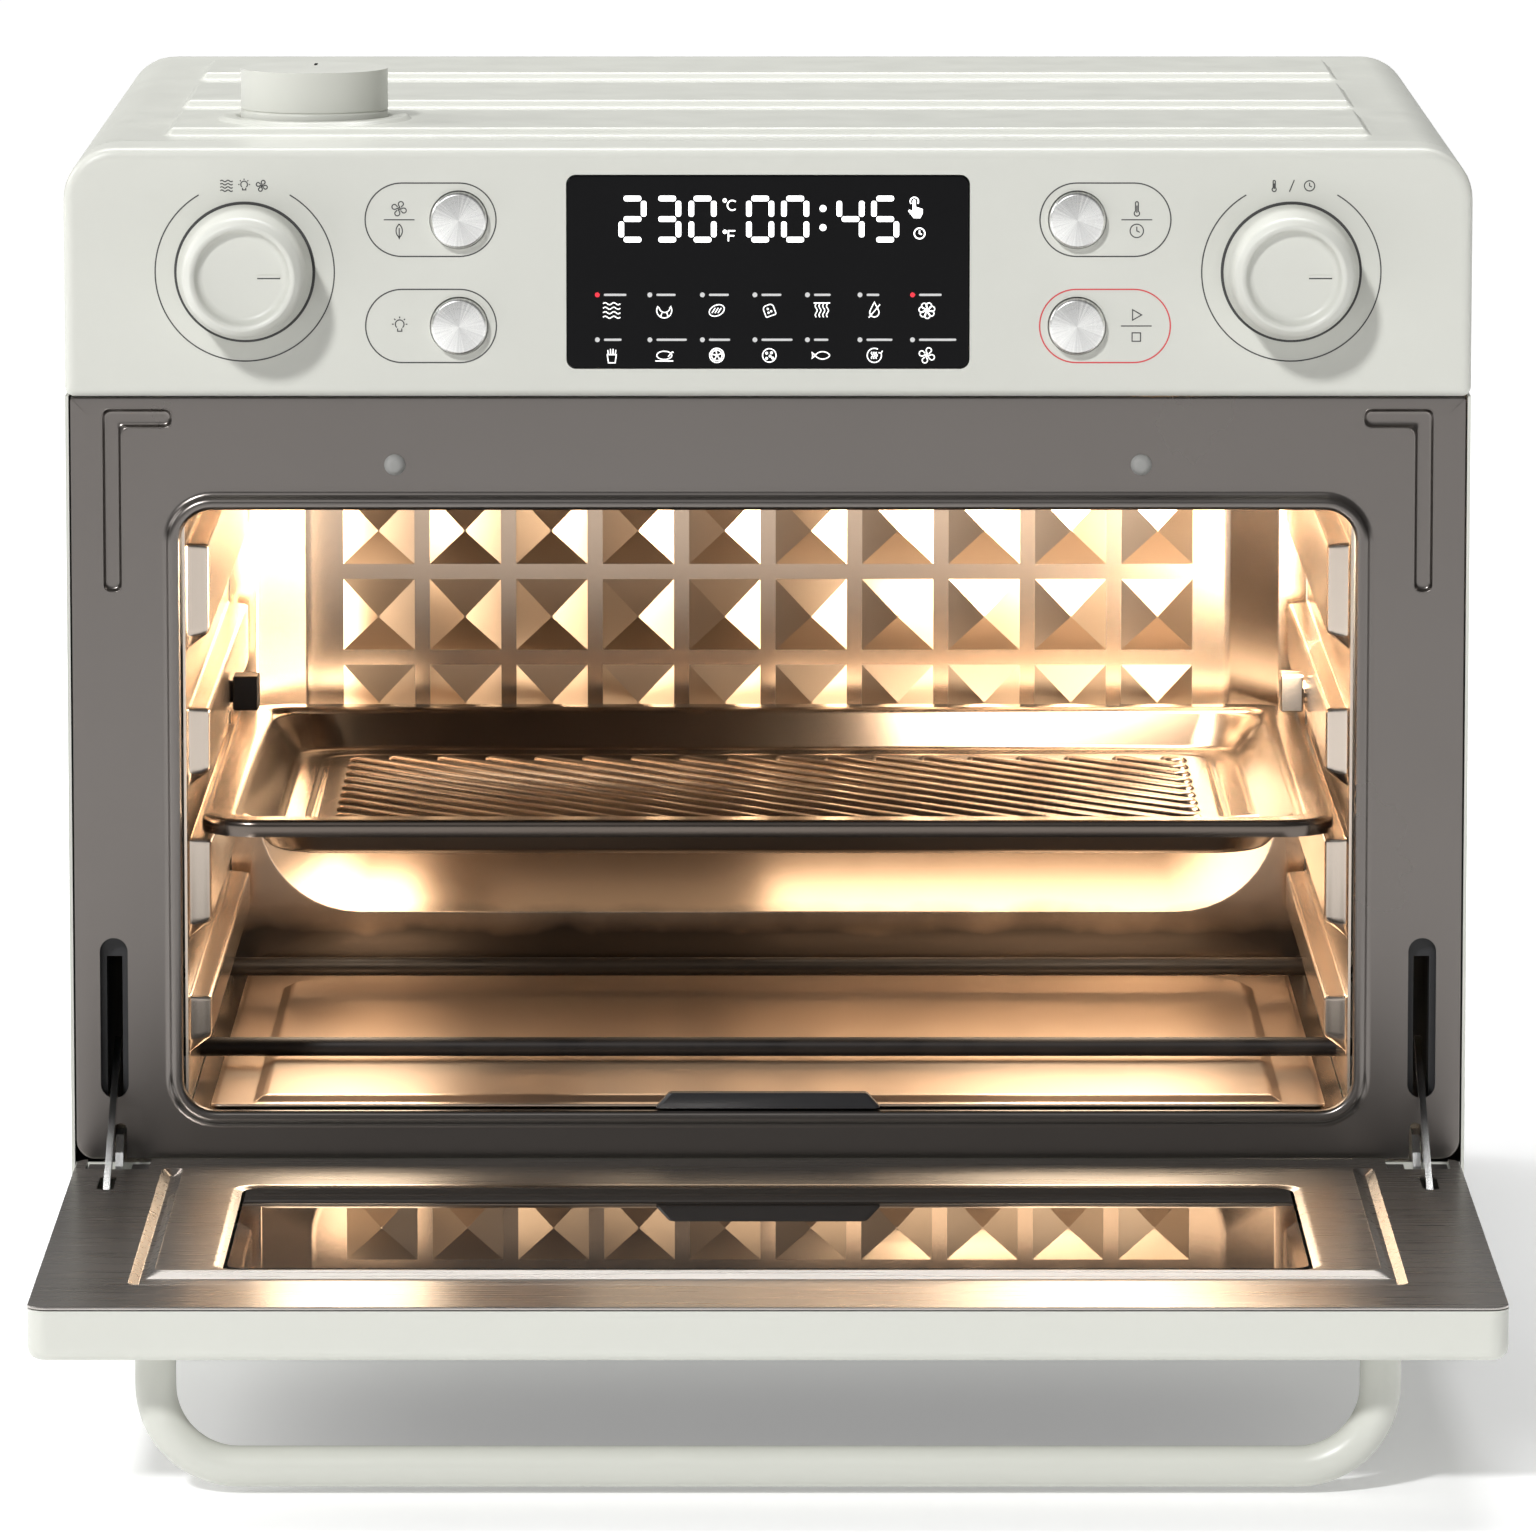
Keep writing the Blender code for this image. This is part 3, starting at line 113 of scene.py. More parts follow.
class Nodes:
    """A material under construction, with a short way to add and link its nodes."""

    def __init__(self, name, **sockets):
        self.material = bpy.data.materials.new(name)
        self.material.use_nodes = True
        self.tree = self.material.node_tree
        self.shader = self.tree.nodes["Principled BSDF"]
        for socket, value in sockets.items():
            self.shader.inputs[socket.replace("_", " ")].default_value = value

    def add(self, kind, inputs=None, **settings):
        node = self.tree.nodes.new(kind)
        for key, value in settings.items():
            setattr(node, key, value)
        for socket, value in (inputs or {}).items():
            self.feed(node.inputs[socket], value)
        return node

    def feed(self, socket, value):
        if isinstance(value, bpy.types.NodeSocket):
            self.tree.links.new(value, socket)
        else:
            socket.default_value = value

    def set(self, socket, value):
        self.feed(self.shader.inputs[socket], value)

    def place(self, scale=(1, 1, 1)):
        """Object coordinates in metres, stretched by a scale."""
        coordinates = self.add("ShaderNodeTexCoord").outputs["Object"]
        inputs = {"Vector": coordinates, "Scale": scale}
        return self.add("ShaderNodeMapping", inputs).outputs["Vector"]

    def noise(self, scale, detail=3.0, stretch=(1, 1, 1)):
        inputs = {"Vector": self.place(stretch), "Scale": scale, "Detail": detail}
        return self.add("ShaderNodeTexNoise", inputs).outputs["Fac"]

    def noise_along(self, distance, scale):
        inputs = {"W": distance, "Scale": scale}
        return self.add("ShaderNodeTexNoise", inputs, noise_dimensions="1D").outputs["Fac"]

    def range(self, value, from_low, from_high, to_low, to_high):
        names = ("Value", "From Min", "From Max", "To Min", "To Max")
        inputs = dict(zip(names, (value, from_low, from_high, to_low, to_high)))
        return self.add("ShaderNodeMapRange", inputs).outputs["Result"]

    def spread(self, noise, lowest, highest):
        """A noise, with the band that holds most of its values stretched over a range."""
        return self.range(noise, 0.3, 0.7, lowest, highest)

    def math(self, operation, *values):
        inputs = dict(enumerate(values))
        return self.add("ShaderNodeMath", inputs, operation=operation).outputs[0]

    def tint(self, factor, first, second):
        """Colours the surface with a mix of two colours."""
        inputs = {0: factor, 6: (*first, 1), 7: (*second, 1)}
        self.set("Base Color", self.add("ShaderNodeMix", inputs, data_type="RGBA").outputs[2])

    def roughen(self, noise, lowest, highest):
        self.set("Roughness", self.spread(noise, lowest, highest))

    def bump(self, height, strength, distance):
        inputs = {"Height": height, "Strength": strength, "Distance": distance}
        self.set("Normal", self.add("ShaderNodeBump", inputs).outputs["Normal"])


def painted(name, light, dark, roughness, grain=1400.0, depth=0.00003):
    """Enamel or moulded plastic: a faint mottle and a fine orange peel."""
    made = Nodes(name)
    made.tint(made.noise(18.0), light, dark)
    made.roughen(made.noise(60.0), roughness - 0.03, roughness + 0.04)
    made.bump(made.noise(grain, 2.0), 0.25, depth)
    return made.material


def brushed(name, light, dark, roughness, stretch):
    """Rolled or brushed metal, with its grain drawn out along one axis."""
    made = Nodes(name, Metallic=1.0)
    grain = made.noise(900.0, 4.0, stretch)
    made.tint(made.spread(grain, 0, 1), light, dark)
    made.roughen(grain, roughness - 0.02, roughness + 0.03)
    made.bump(grain, 0.05, 0.00002)
    return made.material


def sheet_metal(name, light, dark, roughness, smudge=0.10):
    """Bright pressed sheet, with cloudy patches left by rolling and cleaning."""
    made = Nodes(name, Metallic=1.0)
    clouds = made.noise(14.0, 5.0)
    grain = made.noise(1100.0, 3.0, (0.06, 1, 1))
    made.tint(clouds, light, dark)
    made.roughen(clouds, roughness, roughness + smudge)
    made.bump(grain, 0.08, 0.00002)
    return made.material


def glowing(name, colour, strength):
    """A backlit print, a little cloudy where the light comes through."""
    made = Nodes(name, Roughness=0.4)
    made.tint(made.noise(400.0), colour, [channel * 0.85 for channel in colour])
    made.set("Emission Color", (*colour, 1))
    made.set("Emission Strength", strength)
    return made.material


def spun(name, light, dark, painted_fans, turn):
    """Turned aluminium: fine rings in its roughness and bump, and a painted highlight: the colour
    brightens in wedges round the centre, standing in for the light that the rings spread.
    """
    made = Nodes(name, Metallic=1.0)
    offset = made.add("ShaderNodeSeparateXYZ", {"Vector": made.place()}).outputs
    squares = (made.math("POWER", offset[axis], 2.0) for axis in "XZ")
    rings = made.noise_along(made.math("SQRT", made.math("ADD", *squares)), 6000.0)
    # painted highlight: brightness that changes with the angle round the centre
    angle = made.math("ADD", made.math("ARCTAN2", offset["Z"], offset["X"]), math.radians(turn))
    fan = made.math("SINE", made.math("MULTIPLY", angle, painted_fans))
    sheen_streaks = made.noise_along(angle, 9.0)
    shade = made.math("ADD", made.math("MULTIPLY", fan, 0.32), sheen_streaks)
    made.tint(made.range(shade, 0.15, 0.85, 0, 1), dark, light)
    made.roughen(rings, 0.26, 0.40)
    made.bump(rings, 0.10, 0.00002)
    return made.material


def glass(name, colour, roughness, alpha, gloss=0.5):
    """A pane with a faint haze of fingerprints."""
    made = Nodes(name, Alpha=alpha, IOR=1.5, Specular_IOR_Level=gloss)
    haze = made.noise(25.0)
    made.tint(haze, colour, [channel * 1.25 + 0.001 for channel in colour])
    made.roughen(haze, roughness, roughness + 0.015)
    return made.material


def painted_shade_below(name, light, dark, heights, roughness):
    """Sheet with painted shade below a height: its colour turns dark there, standing in for the dark
    reflection low on the wall; the height is given as (low, high) in metres above the datum.
    """
    made = Nodes(name, Metallic=1.0)
    height = made.add("ShaderNodeSeparateXYZ", {"Vector": made.place()}).outputs["Z"]
    wavering = made.math("ADD", height, made.spread(made.noise(40.0), -0.002, 0.002))
    # painted shade: the colour runs from light down to near-black below the given height
    made.tint(made.range(wavering, *heights, 0.0, 1.0), dark, light)
    made.roughen(made.noise(60.0, 4.0), roughness, roughness + 0.02)
    return made.material


def heater_sheath():
    made = Nodes("heater_sheath", Metallic=0.7)
    blotches = made.noise(90.0, 5.0)
    made.tint(blotches, (0.016, 0.015, 0.016), (0.032, 0.027, 0.024))
    made.roughen(blotches, 0.38, 0.55)
    made.bump(made.noise(700.0), 0.2, 0.00005)
    return made.material


def rubber():
    made = Nodes("rubber_feet")
    made.tint(made.noise(120.0), (0.24, 0.24, 0.23), (0.33, 0.33, 0.32))
    made.roughen(made.noise(300.0), 0.6, 0.75)
    made.bump(made.noise(900.0), 0.3, 0.00005)
    return made.material


ENAMEL = painted("warm_white_enamel", (0.600, 0.607, 0.557), (0.584, 0.591, 0.542), 0.34)
PLASTIC = painted("warm_white_plastic", (0.610, 0.616, 0.567), (0.597, 0.602, 0.554), 0.38, 2200.0)
DARK_PLASTIC = painted("black_moulding", (0.014, 0.014, 0.016), (0.022, 0.022, 0.024), 0.42)
# Painted shade: a near-black lining for the insides of the casing and the cavity walls, standing in
# for the shade seen through their slots and louvres.
SHADE_LINING = painted("painted_shade_lining", (0.010, 0.010, 0.010), (0.016, 0.016, 0.016), 0.6)
CERAMIC = painted("fired_ceramic", (0.74, 0.69, 0.60), (0.66, 0.61, 0.53), 0.55, 700.0, 0.00008)
BOARD = painted("solder_mask", (0.025, 0.15, 0.06), (0.035, 0.19, 0.08), 0.38, 500.0, 0.0001)
FRAME_STEEL = sheet_metal("frame_steel", (0.188, 0.172, 0.161), (0.182, 0.167, 0.156), 0.27, 0.02)
DOOR_STEEL = brushed("door_steel", (0.52, 0.49, 0.46), (0.50, 0.47, 0.442), 0.28, (0.02, 1, 1))
CAVITY_STEEL = sheet_metal("cavity_sheet", (0.60, 0.52, 0.45), (0.53, 0.46, 0.39), 0.20, 0.04)
# Painted shade: the back wall's colour turns near-black below about 30 mm, standing in for the dark
# reflection on its low flange.
BACK_STEEL = painted_shade_below(
    "back_wall_sheet", (0.60, 0.46, 0.35), (0.075, 0.066, 0.06), (0.026, 0.036), 0.22
)
PYRAMID_STEEL = sheet_metal("pyramid_sheet", (0.58, 0.46, 0.35), (0.56, 0.445, 0.34), 0.28, 0.02)
CRUMB_STEEL = sheet_metal("crumb_tray_sheet", (0.74, 0.61, 0.50), (0.71, 0.585, 0.48), 0.30, 0.03)
TRAY_COAT = sheet_metal("tray_coat", (0.155, 0.130, 0.112), (0.14, 0.118, 0.102), 0.22, 0.04)
ZINC = sheet_metal("zinc_plate_sheet", (0.60, 0.61, 0.62), (0.50, 0.51, 0.52), 0.34)
BRIGHT_STEEL = brushed("bright_bar", (0.72, 0.72, 0.71), (0.60, 0.60, 0.60), 0.22, (1, 0.05, 1))
# SPUN carries a painted highlight: brighter wedges round each cap's centre.
SPUN = spun("spun_caps", (0.93, 0.93, 0.91), (0.66, 0.66, 0.65), 2.0, 20)
HEATER = heater_sheath()
FEET = rubber()
DISPLAY_GLASS = glass("display_glass_black", (0.004, 0.004, 0.0045), 0.12, 1.0, 0.08)
PANE = glass("door_pane", (0.030, 0.026, 0.023), 0.0, 0.86, 0.9)
CLEAR = glass("clear_pane", (0.70, 0.72, 0.70), 0.02, 0.28)
INK = painted("grey_ink", (0.045, 0.045, 0.045), (0.06, 0.06, 0.06), 0.55)
RED_INK = painted("red_ink", (0.60, 0.05, 0.06), (0.66, 0.07, 0.08), 0.55)
LIT = glowing("lit_segment", (1.0, 1.0, 1.0), 1.6)
LIT_ICON = glowing("lit_icon", (0.95, 0.95, 0.95), 0.85)
DIM_LAMP = glowing("dim_lamp", (0.5, 0.5, 0.5), 0.35)
RED_LAMP = glowing("red_lamp", (0.75, 0.02, 0.04), 0.5)
FILAMENT = glowing("lamp_glass", (1.0, 0.62, 0.30), 6.0)


# ---- shapes ----


def filleted(points, radius, steps=FILLET_STEPS):
    """Rounds the inner corners of a polyline of (a, b) points."""
    path = [Vector(point) for point in points]
    out = [path[0]]
    for before, corner, after in zip(path, path[1:], path[2:]):
        reach = min(radius, (before - corner).length * 0.48, (after - corner).length * 0.48)
        start = corner + (before - corner).normalized() * reach
        end = corner + (after - corner).normalized() * reach
        for step in range(steps + 1):
            t = step / steps
            out.append(start * (1 - t) ** 2 + corner * 2 * t * (1 - t) + end * t**2)
    return out + [path[-1]]


def arc(centre, radius, start, end, steps):
    """Points of an arc, with its angles in degrees."""
    points = []
    for step in range(steps + 1):
        angle = math.radians(start + (end - start) * step / steps)
        points.append((centre[0] + radius * math.cos(angle), centre[1] + radius * math.sin(angle)))
    return points


def circle(radius, steps=28, centre=(0, 0)):
    return arc(centre[:2], radius, 0, 360 * (steps - 1) / steps, steps - 1)


def moved(path, u, v, scale=1.0, turn=0.0):
    """A path of (u, v) points, scaled, turned in degrees and moved."""
    cosine = math.cos(math.radians(turn)) * scale
    sine = math.sin(math.radians(turn)) * scale
    return [(u + a * cosine - b * sine, v + a * sine + b * cosine) for a, b in path]


def rounded_rectangle(u, v, low_radius, high_radius=None, steps=CORNER_STEPS):
    """Anticlockwise points; `u` and `v` are (low, high), and the radii are those at low and high v."""
    high_radius = low_radius if high_radius is None else high_radius
    corners = (
        (u[0] + low_radius, v[0] + low_radius, low_radius, 180),
        (u[1] - low_radius, v[0] + low_radius, low_radius, 270),
        (u[1] - high_radius, v[1] - high_radius, high_radius, 0),
        (u[0] + high_radius, v[1] - high_radius, high_radius, 90),
    )
    points = []
    for centre_u, centre_v, radius, start in corners:
        points += arc((centre_u, centre_v), radius, start, start + 90, steps)
    return points


def lifted(outline, height):
    """An outline of (u, v) points as a ring at a height."""
    return [(u, v, height) for u, v in outline]


def inset_rings(half_u, v, radii, profile):
    """Rings of a rounded rectangle, drawn in and raised along a profile of (inset, height)."""
    rings = []
    for inset, height in profile:
        corners = [max(radius - inset, SHARPEST) for radius in radii]
        across = (inset - half_u, half_u - inset)
        outline = rounded_rectangle(across, (v[0] + inset, v[1] - inset), *corners)
        rings.append(lifted(outline, height))
    return rings


def turned_rings(profile, centre=(0, 0, 0), steps=64):
    """Circles about local Z, one for each (radius, height) of a profile."""
    rings = []
    for radius, height in profile:
        outline = circle(max(radius, 0.01), steps, centre)
        rings.append(lifted(outline, centre[2] + height))
    return rings


def tube_rings(path, radius, steps=20):
    """Circles along a path that stays in one plane of constant y."""
    side = Vector((0, 1, 0))
    rings = []
    for index, point in enumerate(path):
        before = path[max(index - 1, 0)]
        after = path[min(index + 1, len(path) - 1)]
        other = (Vector(after) - Vector(before)).normalized().cross(side)
        outline = circle(radius, steps)
        rings.append([Vector(point) + side * u + other * v for u, v in outline])
    return rings


def facing_up(point):
    return point


def facing_down(point):
    return (point[0], -point[1], -point[2])


def facing_front(point):
    return (point[0], -point[2], point[1])


def facing_right(point):
    return (point[2], point[0], point[1])


def bridge(shape, outer, inner, looped=True):
    count = len(outer)
    for index in range(count if looped else count - 1):
        following = (index + 1) % count
        shape.faces.new((outer[index], outer[following], inner[following], inner[index]))


def add_rings(shape, rings, facing=facing_up, close_first=False, close_last=True, looped=True):
    """Joins rings of points into a skin."""
    loops = [[shape.verts.new(facing(tuple(point))) for point in ring] for ring in rings]
    for outer, inner in zip(loops, loops[1:]):
        bridge(shape, outer, inner, looped)
    if close_first:
        shape.faces.new(loops[0][::-1])
    if close_last:
        shape.faces.new(loops[-1])
    return loops


def add_hoop(shape, rings, facing=facing_up):
    """A closed ring of constant section: its last ring of points joins its first."""
    loops = add_rings(shape, rings, facing, close_last=False)
    bridge(shape, loops[-1], loops[0])


def add_ribbon(shape, path, width, facing, height, looped=False):
    """A film-thin strip along a path of (u, v) points, with mitred corners."""
    points = [Vector(point) for point in path]
    count = len(points)
    sections = []
    for index, point in enumerate(points):
        before = points[index - 1] if looped or index else point
        after = points[(index + 1) % count] if looped or index + 1 < count else point
        first = (point - before).normalized() if (point - before).length > 1e-6 else None
        second = (after - point).normalized() if (after - point).length > 1e-6 else first
        first = first or second
        along = (first + second).normalized() if (first + second).length > 0.2 else second
        across = Vector((-along.y, along.x))
        stretch = 1 / max(across.dot(Vector((-second.y, second.x))), 0.5)
        reach = across * (width / 2 * stretch)
        corners = ((1, FILM), (-1, FILM), (-1, 0), (1, 0))
        sections.append([facing((*(point + reach * side), height + lift)) for side, lift in corners])
    loops = add_rings(shape, sections, close_first=not looped, close_last=not looped)
    if looped:
        bridge(shape, loops[-1], loops[0])


def add_patch(shape, outline, facing, height):
    """A film-thin filled area."""
    rings = [lifted(outline, height + lift) for lift in (0, FILM)]
    add_rings(shape, rings, facing, close_first=True)


def add_object(name, data, place):
    thing = bpy.data.objects.new(name, data)
    thing.location = place
    bpy.context.scene.collection.objects.link(thing)
    return thing


def finished_mesh(name, shape):
    """Turns a bmesh in millimetres into a mesh in metres."""
    bmesh.ops.scale(shape, vec=(MM, MM, MM), verts=shape.verts)
    mesh = bpy.data.meshes.new(name)
    shape.to_mesh(mesh)
    shape.free()
    return mesh


def link_piece(name, shape, material, body=BODY, origin=(0, 0, 0), smooth_angle=32):
    """Turns a bmesh in datum millimetres into a piece that rides on a body."""
    if all(edge.is_manifold for edge in shape.edges):
        bmesh.ops.recalc_face_normals(shape, faces=shape.faces)
    shape.transform(Matrix.Translation(-Vector(origin)))
    mesh = finished_mesh(name, shape)
    mesh.shade_smooth()
    mesh.set_sharp_from_angle(angle=math.radians(smooth_angle))
    mesh.materials.append(material)
    piece = add_object(name, mesh, DATUM + Vector(origin) * MM)
    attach(piece, body)
    return piece


def sheet(name, rings, facing, thickness, material, slot, body=BODY, smooth_angle=32, **closing):
    """A piece made of one run of rings, thickened inwards."""
    shape = bmesh.new()
    add_rings(shape, rings, facing, **closing)
    piece = link_piece(name, shape, material, body, smooth_angle=smooth_angle)
    solidify = piece.modifiers.new("sheet", "SOLIDIFY")
    solidify.thickness = thickness * MM
    solidify.offset = -1
    solidify.use_even_offset = True
    return piece


def solid(name, rings, facing, material, slot, body=BODY, origin=(0, 0, 0), smooth_angle=32):
    """A piece made of one run of rings, closed at both ends."""
    shape = bmesh.new()
    add_rings(shape, rings, facing, close_first=True)
    return link_piece(name, shape, material, body, origin, smooth_angle)


def line_with(piece, material):
    """Gives a sheet's inner side a material of its own."""
    piece.data.materials.append(material)
    piece.modifiers["sheet"].material_offset = 1


def cutter(outline, facing, bottom, top):
    """A closed prism."""
    shape = bmesh.new()
    rings = [lifted(outline, height) for height in (bottom, top)]
    add_rings(shape, rings, facing, close_first=True)
    bmesh.ops.recalc_face_normals(shape, faces=shape.faces)
    return add_object("cutter", finished_mesh("cutter", shape), DATUM)


def carve(piece, cuts):
    """Cuts prisms out of a piece, each (outline, facing, bottom, top), and keeps what is left."""
    cutters = [cutter(*cut) for cut in cuts]
    for tool in cutters:
        boolean = piece.modifiers.new("cut", "BOOLEAN")
        boolean.operation = "DIFFERENCE"
        boolean.solver = "MANIFOLD"
        boolean.object = tool
    bpy.context.view_layer.update()
    graph = bpy.context.evaluated_depsgraph_get()
    mesh = bpy.data.meshes.new_from_object(piece.evaluated_get(graph))
    mesh.set_sharp_from_angle(angle=math.radians(32))
    piece.modifiers.clear()
    piece.data = mesh
    for tool in cutters:
        bpy.data.objects.remove(tool)
    weigh_normals(piece)


def weigh_normals(piece):
    """Keeps large flat faces looking flat beside small rounded ones."""
    weighted = piece.modifiers.new("flat_faces", "WEIGHTED_NORMAL")
    weighted.keep_sharp = True


def smooth_step(value):
    value = min(max(value, 0.0), 1.0)
    return value * value * (3 - 2 * value)


# ---- casing ----


def plateau_height(x, y):
    """How far the casing's top stands up at a point: the pads, and the slopes round them."""
    if abs(x) > PLATEAU_HALF:
        return 0.0
    sideways = smooth_step((PLATEAU_HALF - abs(x)) / PLATEAU_SLOPE)
    inward = max(min(y - start, end - y) for start, end in PLATEAUS)
    return PLATEAU_RISE * sideways * smooth_step((inward + PLATEAU_SLOPE) / PLATEAU_SLOPE)


def build_casing():
    """The wrap with its raised pads, its side louvres and the ring round the steam vent."""
    lowest, highest = ends("outer_casing")
    half_width = highest.x
    top = high("control_panel").z
    radius = 16.0
    slopes = [PLATEAU_SLOPE * step / 8 for step in range(9)]
    stations = {lowest.y, lowest.y + 0.6, highest.y}
    for start, end in PLATEAUS:
        stations.update(start - PLATEAU_SLOPE + reach for reach in slopes)
        stations.update(end + reach for reach in slopes)
    across = [PLATEAU_HALF - reach for reach in slopes]
    profile = [(-half_width, lowest.z)]
    profile += arc((-half_width + radius, top - radius), radius, 180, 90, 12)
    profile += [(-x, top) for x in across]
    profile += [(x, top) for x in reversed(across)]
    profile += arc((half_width - radius, top - radius), radius, 90, 0, 12)
    profile += [(half_width, lowest.z)]
    rings = []
    for y in sorted(stations):
        rings.append([(x, y, z + (plateau_height(x, y) if z == top else 0)) for x, z in profile])
    finish = (ENAMEL, "white_paint", BODY, 50)
    casing = sheet("casing_wrap", rings, facing_up, 1.0, *finish, **OPEN_ENDED)
    # The wrap's inner side is near-black: painted shade for what shows through the louvres and slots.
    line_with(casing, SHADE_LINING)

    vent = middle("vent_cap")
    vent_radius = 15.5
    notch_x = half_width + 5
    notch_z = low("control_panel").z
    notch = [(-notch_x, notch_z), (notch_x, notch_z), (notch_x, top + 5), (-notch_x, top + 5)]
    notch_back = -high("control_panel").y - 0.3
    cuts = [
        (notch, facing_front, notch_back, 5),
        (circle(vent_radius, 48, vent), facing_up, top - 10, top + 10),
    ]
    carve(casing, cuts + louvre_cuts(150.0, half_width) + louvre_cuts(235.0, half_width))
    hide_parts("outer_casing")

    collar = bmesh.new()
    section = filleted([(30.4, -0.1), (28.9, 1.2), (24.4, 1.2), (23.4, -0.1)], 0.6)
    add_hoop(collar, turned_rings(section, (vent.x, vent.y, top + PLATEAU_RISE), 96))
    link_piece("vent_ring", collar, ENAMEL)


def louvre_cuts(start, half_width):
    """A bank of slots through both of the casing's sides."""
    length, width, pitch = 65, 3, 8
    cuts = []
    for z in range(238, 279, pitch):
        slot = rounded_rectangle((start, start + length), (z, z + width), 1.45, steps=4)
        for _, sign in SIDES:
            span = sorted((sign * (half_width - 5), sign * (half_width + 5)))
            cuts.append((slot, facing_right, *span))
    return cuts


def build_vent_cap():
    """The turning cap, with a waist line and a raised mark that shows where it points."""
    highest = high("vent_cap")
    centre = middle("vent_cap")
    radius = highest.x - centre.x
    seat = high("outer_casing").z - 0.9
    height = highest.z - seat
    profile = [(radius - 1.2, 0.4), (radius, 0.4), (radius - 0.1, 2.4), (radius - 0.5, 2.8)]
    profile += [(radius - 0.1, 3.2), (radius - 0.2, height), (radius - 3.4, height), (0.01, height)]
    shape = bmesh.new()
    rounded = filleted(profile[:6], 0.25) + filleted(profile[5:], 1.6)[1:]
    add_rings(shape, turned_rings(rounded, (centre.x, centre.y, seat), 96), close_first=True)
    mark = rounded_rectangle((-0.6, 0.6), (centre.y + 9, centre.y + 17), 0.55, steps=5)
    rings = []
    for share, drop in ((1.0, 0.3), (0.85, 0.0)):
        rings.append([(centre.x + u * share, v, highest.z - drop) for u, v in mark])
    add_rings(shape, rings, close_first=True)
    cap = link_piece("steam_vent_cap", shape, PLASTIC, "steam_vent")
    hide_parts("vent_cap")


def build_feet():
    """Rubber feet with a ribbed tread and a screw well."""
    for node in [f"{row}_{side}_foot" for row in ("front", "rear") for side, _ in SIDES]:
        centre = middle(node)
        top = high(node).z
        height = top - low(node).z
        profile = [(9.0, 0.0), (13.0, 0.0), (14.0, 1.6), (12.0, height), (10.0, height)]
        profile += [(9.5, height - 0.8), (7.5, height - 0.8), (7.0, height), (4.0, height)]
        profile += [(4.0, height - 5), (0.01, height - 5)]
        rings = turned_rings(filleted(profile, 0.5), (centre.x, -centre.y, -top), 48)
        foot = solid(f"{node}_rubber", rings, facing_down, FEET, "grey_rubber")
        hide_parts(node)


# ---- control panel ----


def build_panel():
    """The moulding, with holes for the display, the keys and the knobs' shafts."""
    lowest, highest = ends("control_panel")
    profile = filleted([(0, -highest.y), (0, -lowest.y), (7.5, -lowest.y)], 4.2, 8)
    rings = inset_rings(highest.x, (lowest.z, highest.z), (3, 16), profile)
    panel = sheet("panel_moulding", rings, facing_front, 2.4, PLASTIC, "white_plastic")
    gap = 0.3
    key_hole, shaft_hole = 9.0, 4.0
    glass_low, glass_high = ends("display_window")
    across = (glass_low.x - gap, glass_high.x + gap)
    window = rounded_rectangle(across, (glass_low.z - gap, glass_high.z + gap), 3.0)
    holes = [circle(key_hole, 48, middle(f"{key}_button").xz) for key in KEYS]
    holes += [circle(shaft_hole, 48, middle(f"{knob}_knob").xz) for knob in KNOBS]
    carve(panel, [(hole, facing_front, -8, 8) for hole in (window, *holes)])
    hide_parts("control_panel")


def build_knob(node, body):
    """A waisted knob with a crowned rim and a dished face; its pointer is a raised bar with a painted
    shadow line beneath it, made to look engraved, and a dark ring round its foot paints the shadow in
    the gap to the panel.
    """
    lowest, highest = ends(node)
    centre = middle(node)
    base = -highest.y
    height = highest.y - lowest.y
    radius = (highest.x - lowest.x) / 2
    face = height - 3.5
    outer = [(radius - 1.4, 0.0), (radius - 0.1, 0.0), (radius, 1.4), (radius - 1.3, 7.0)]
    outer += [(radius - 2.0, height - 5.2), (radius - 2.4, height - 2.2)]
    outer += [(radius - 4.9, height - 0.1), (radius - 6.2, height - 0.6), (radius - 7.6, face)]
    outer += [(0.01, face)]
    rings = turned_rings(filleted(outer, 1.7, 8), (centre.x, centre.z, base), 96)
    origin = (centre.x, highest.y, centre.z)
    knob = solid(f"{node}_grip", rings, facing_front, PLASTIC, "white_plastic", body, origin)
    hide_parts(node)

    start, end = centre.x + 4.6, centre.x + 11.6
    outline = rounded_rectangle((start, end), (centre.z - 0.1, centre.z + 0.7), 0.38, steps=4)
    rings = [lifted(outline, base + face + lift) for lift in (-0.2, 0.35)]
    solid(f"{node}_pointer", rings, facing_front, PLASTIC, "white_plastic", body, origin)
    # painted shadow: a dark ink line under the pointer, standing in for the shade at the groove's
    # lower edge
    shade = bmesh.new()
    path = [(start, centre.z - 0.3), (end, centre.z - 0.3)]
    add_ribbon(shade, path, 0.42, facing_front, base + face + PROUD)
    link_piece(f"{node}_pointer_painted_shadow", shade, INK, body, origin)
    # painted shadow: a dark ring round the knob's foot, where the gap to the panel is in shade
    gap = ring(radius + 0.35, 96, centre.x, centre.z)
    printed(f"{node}_gap", [gap], 0.9, INK, -low("control_panel").y)


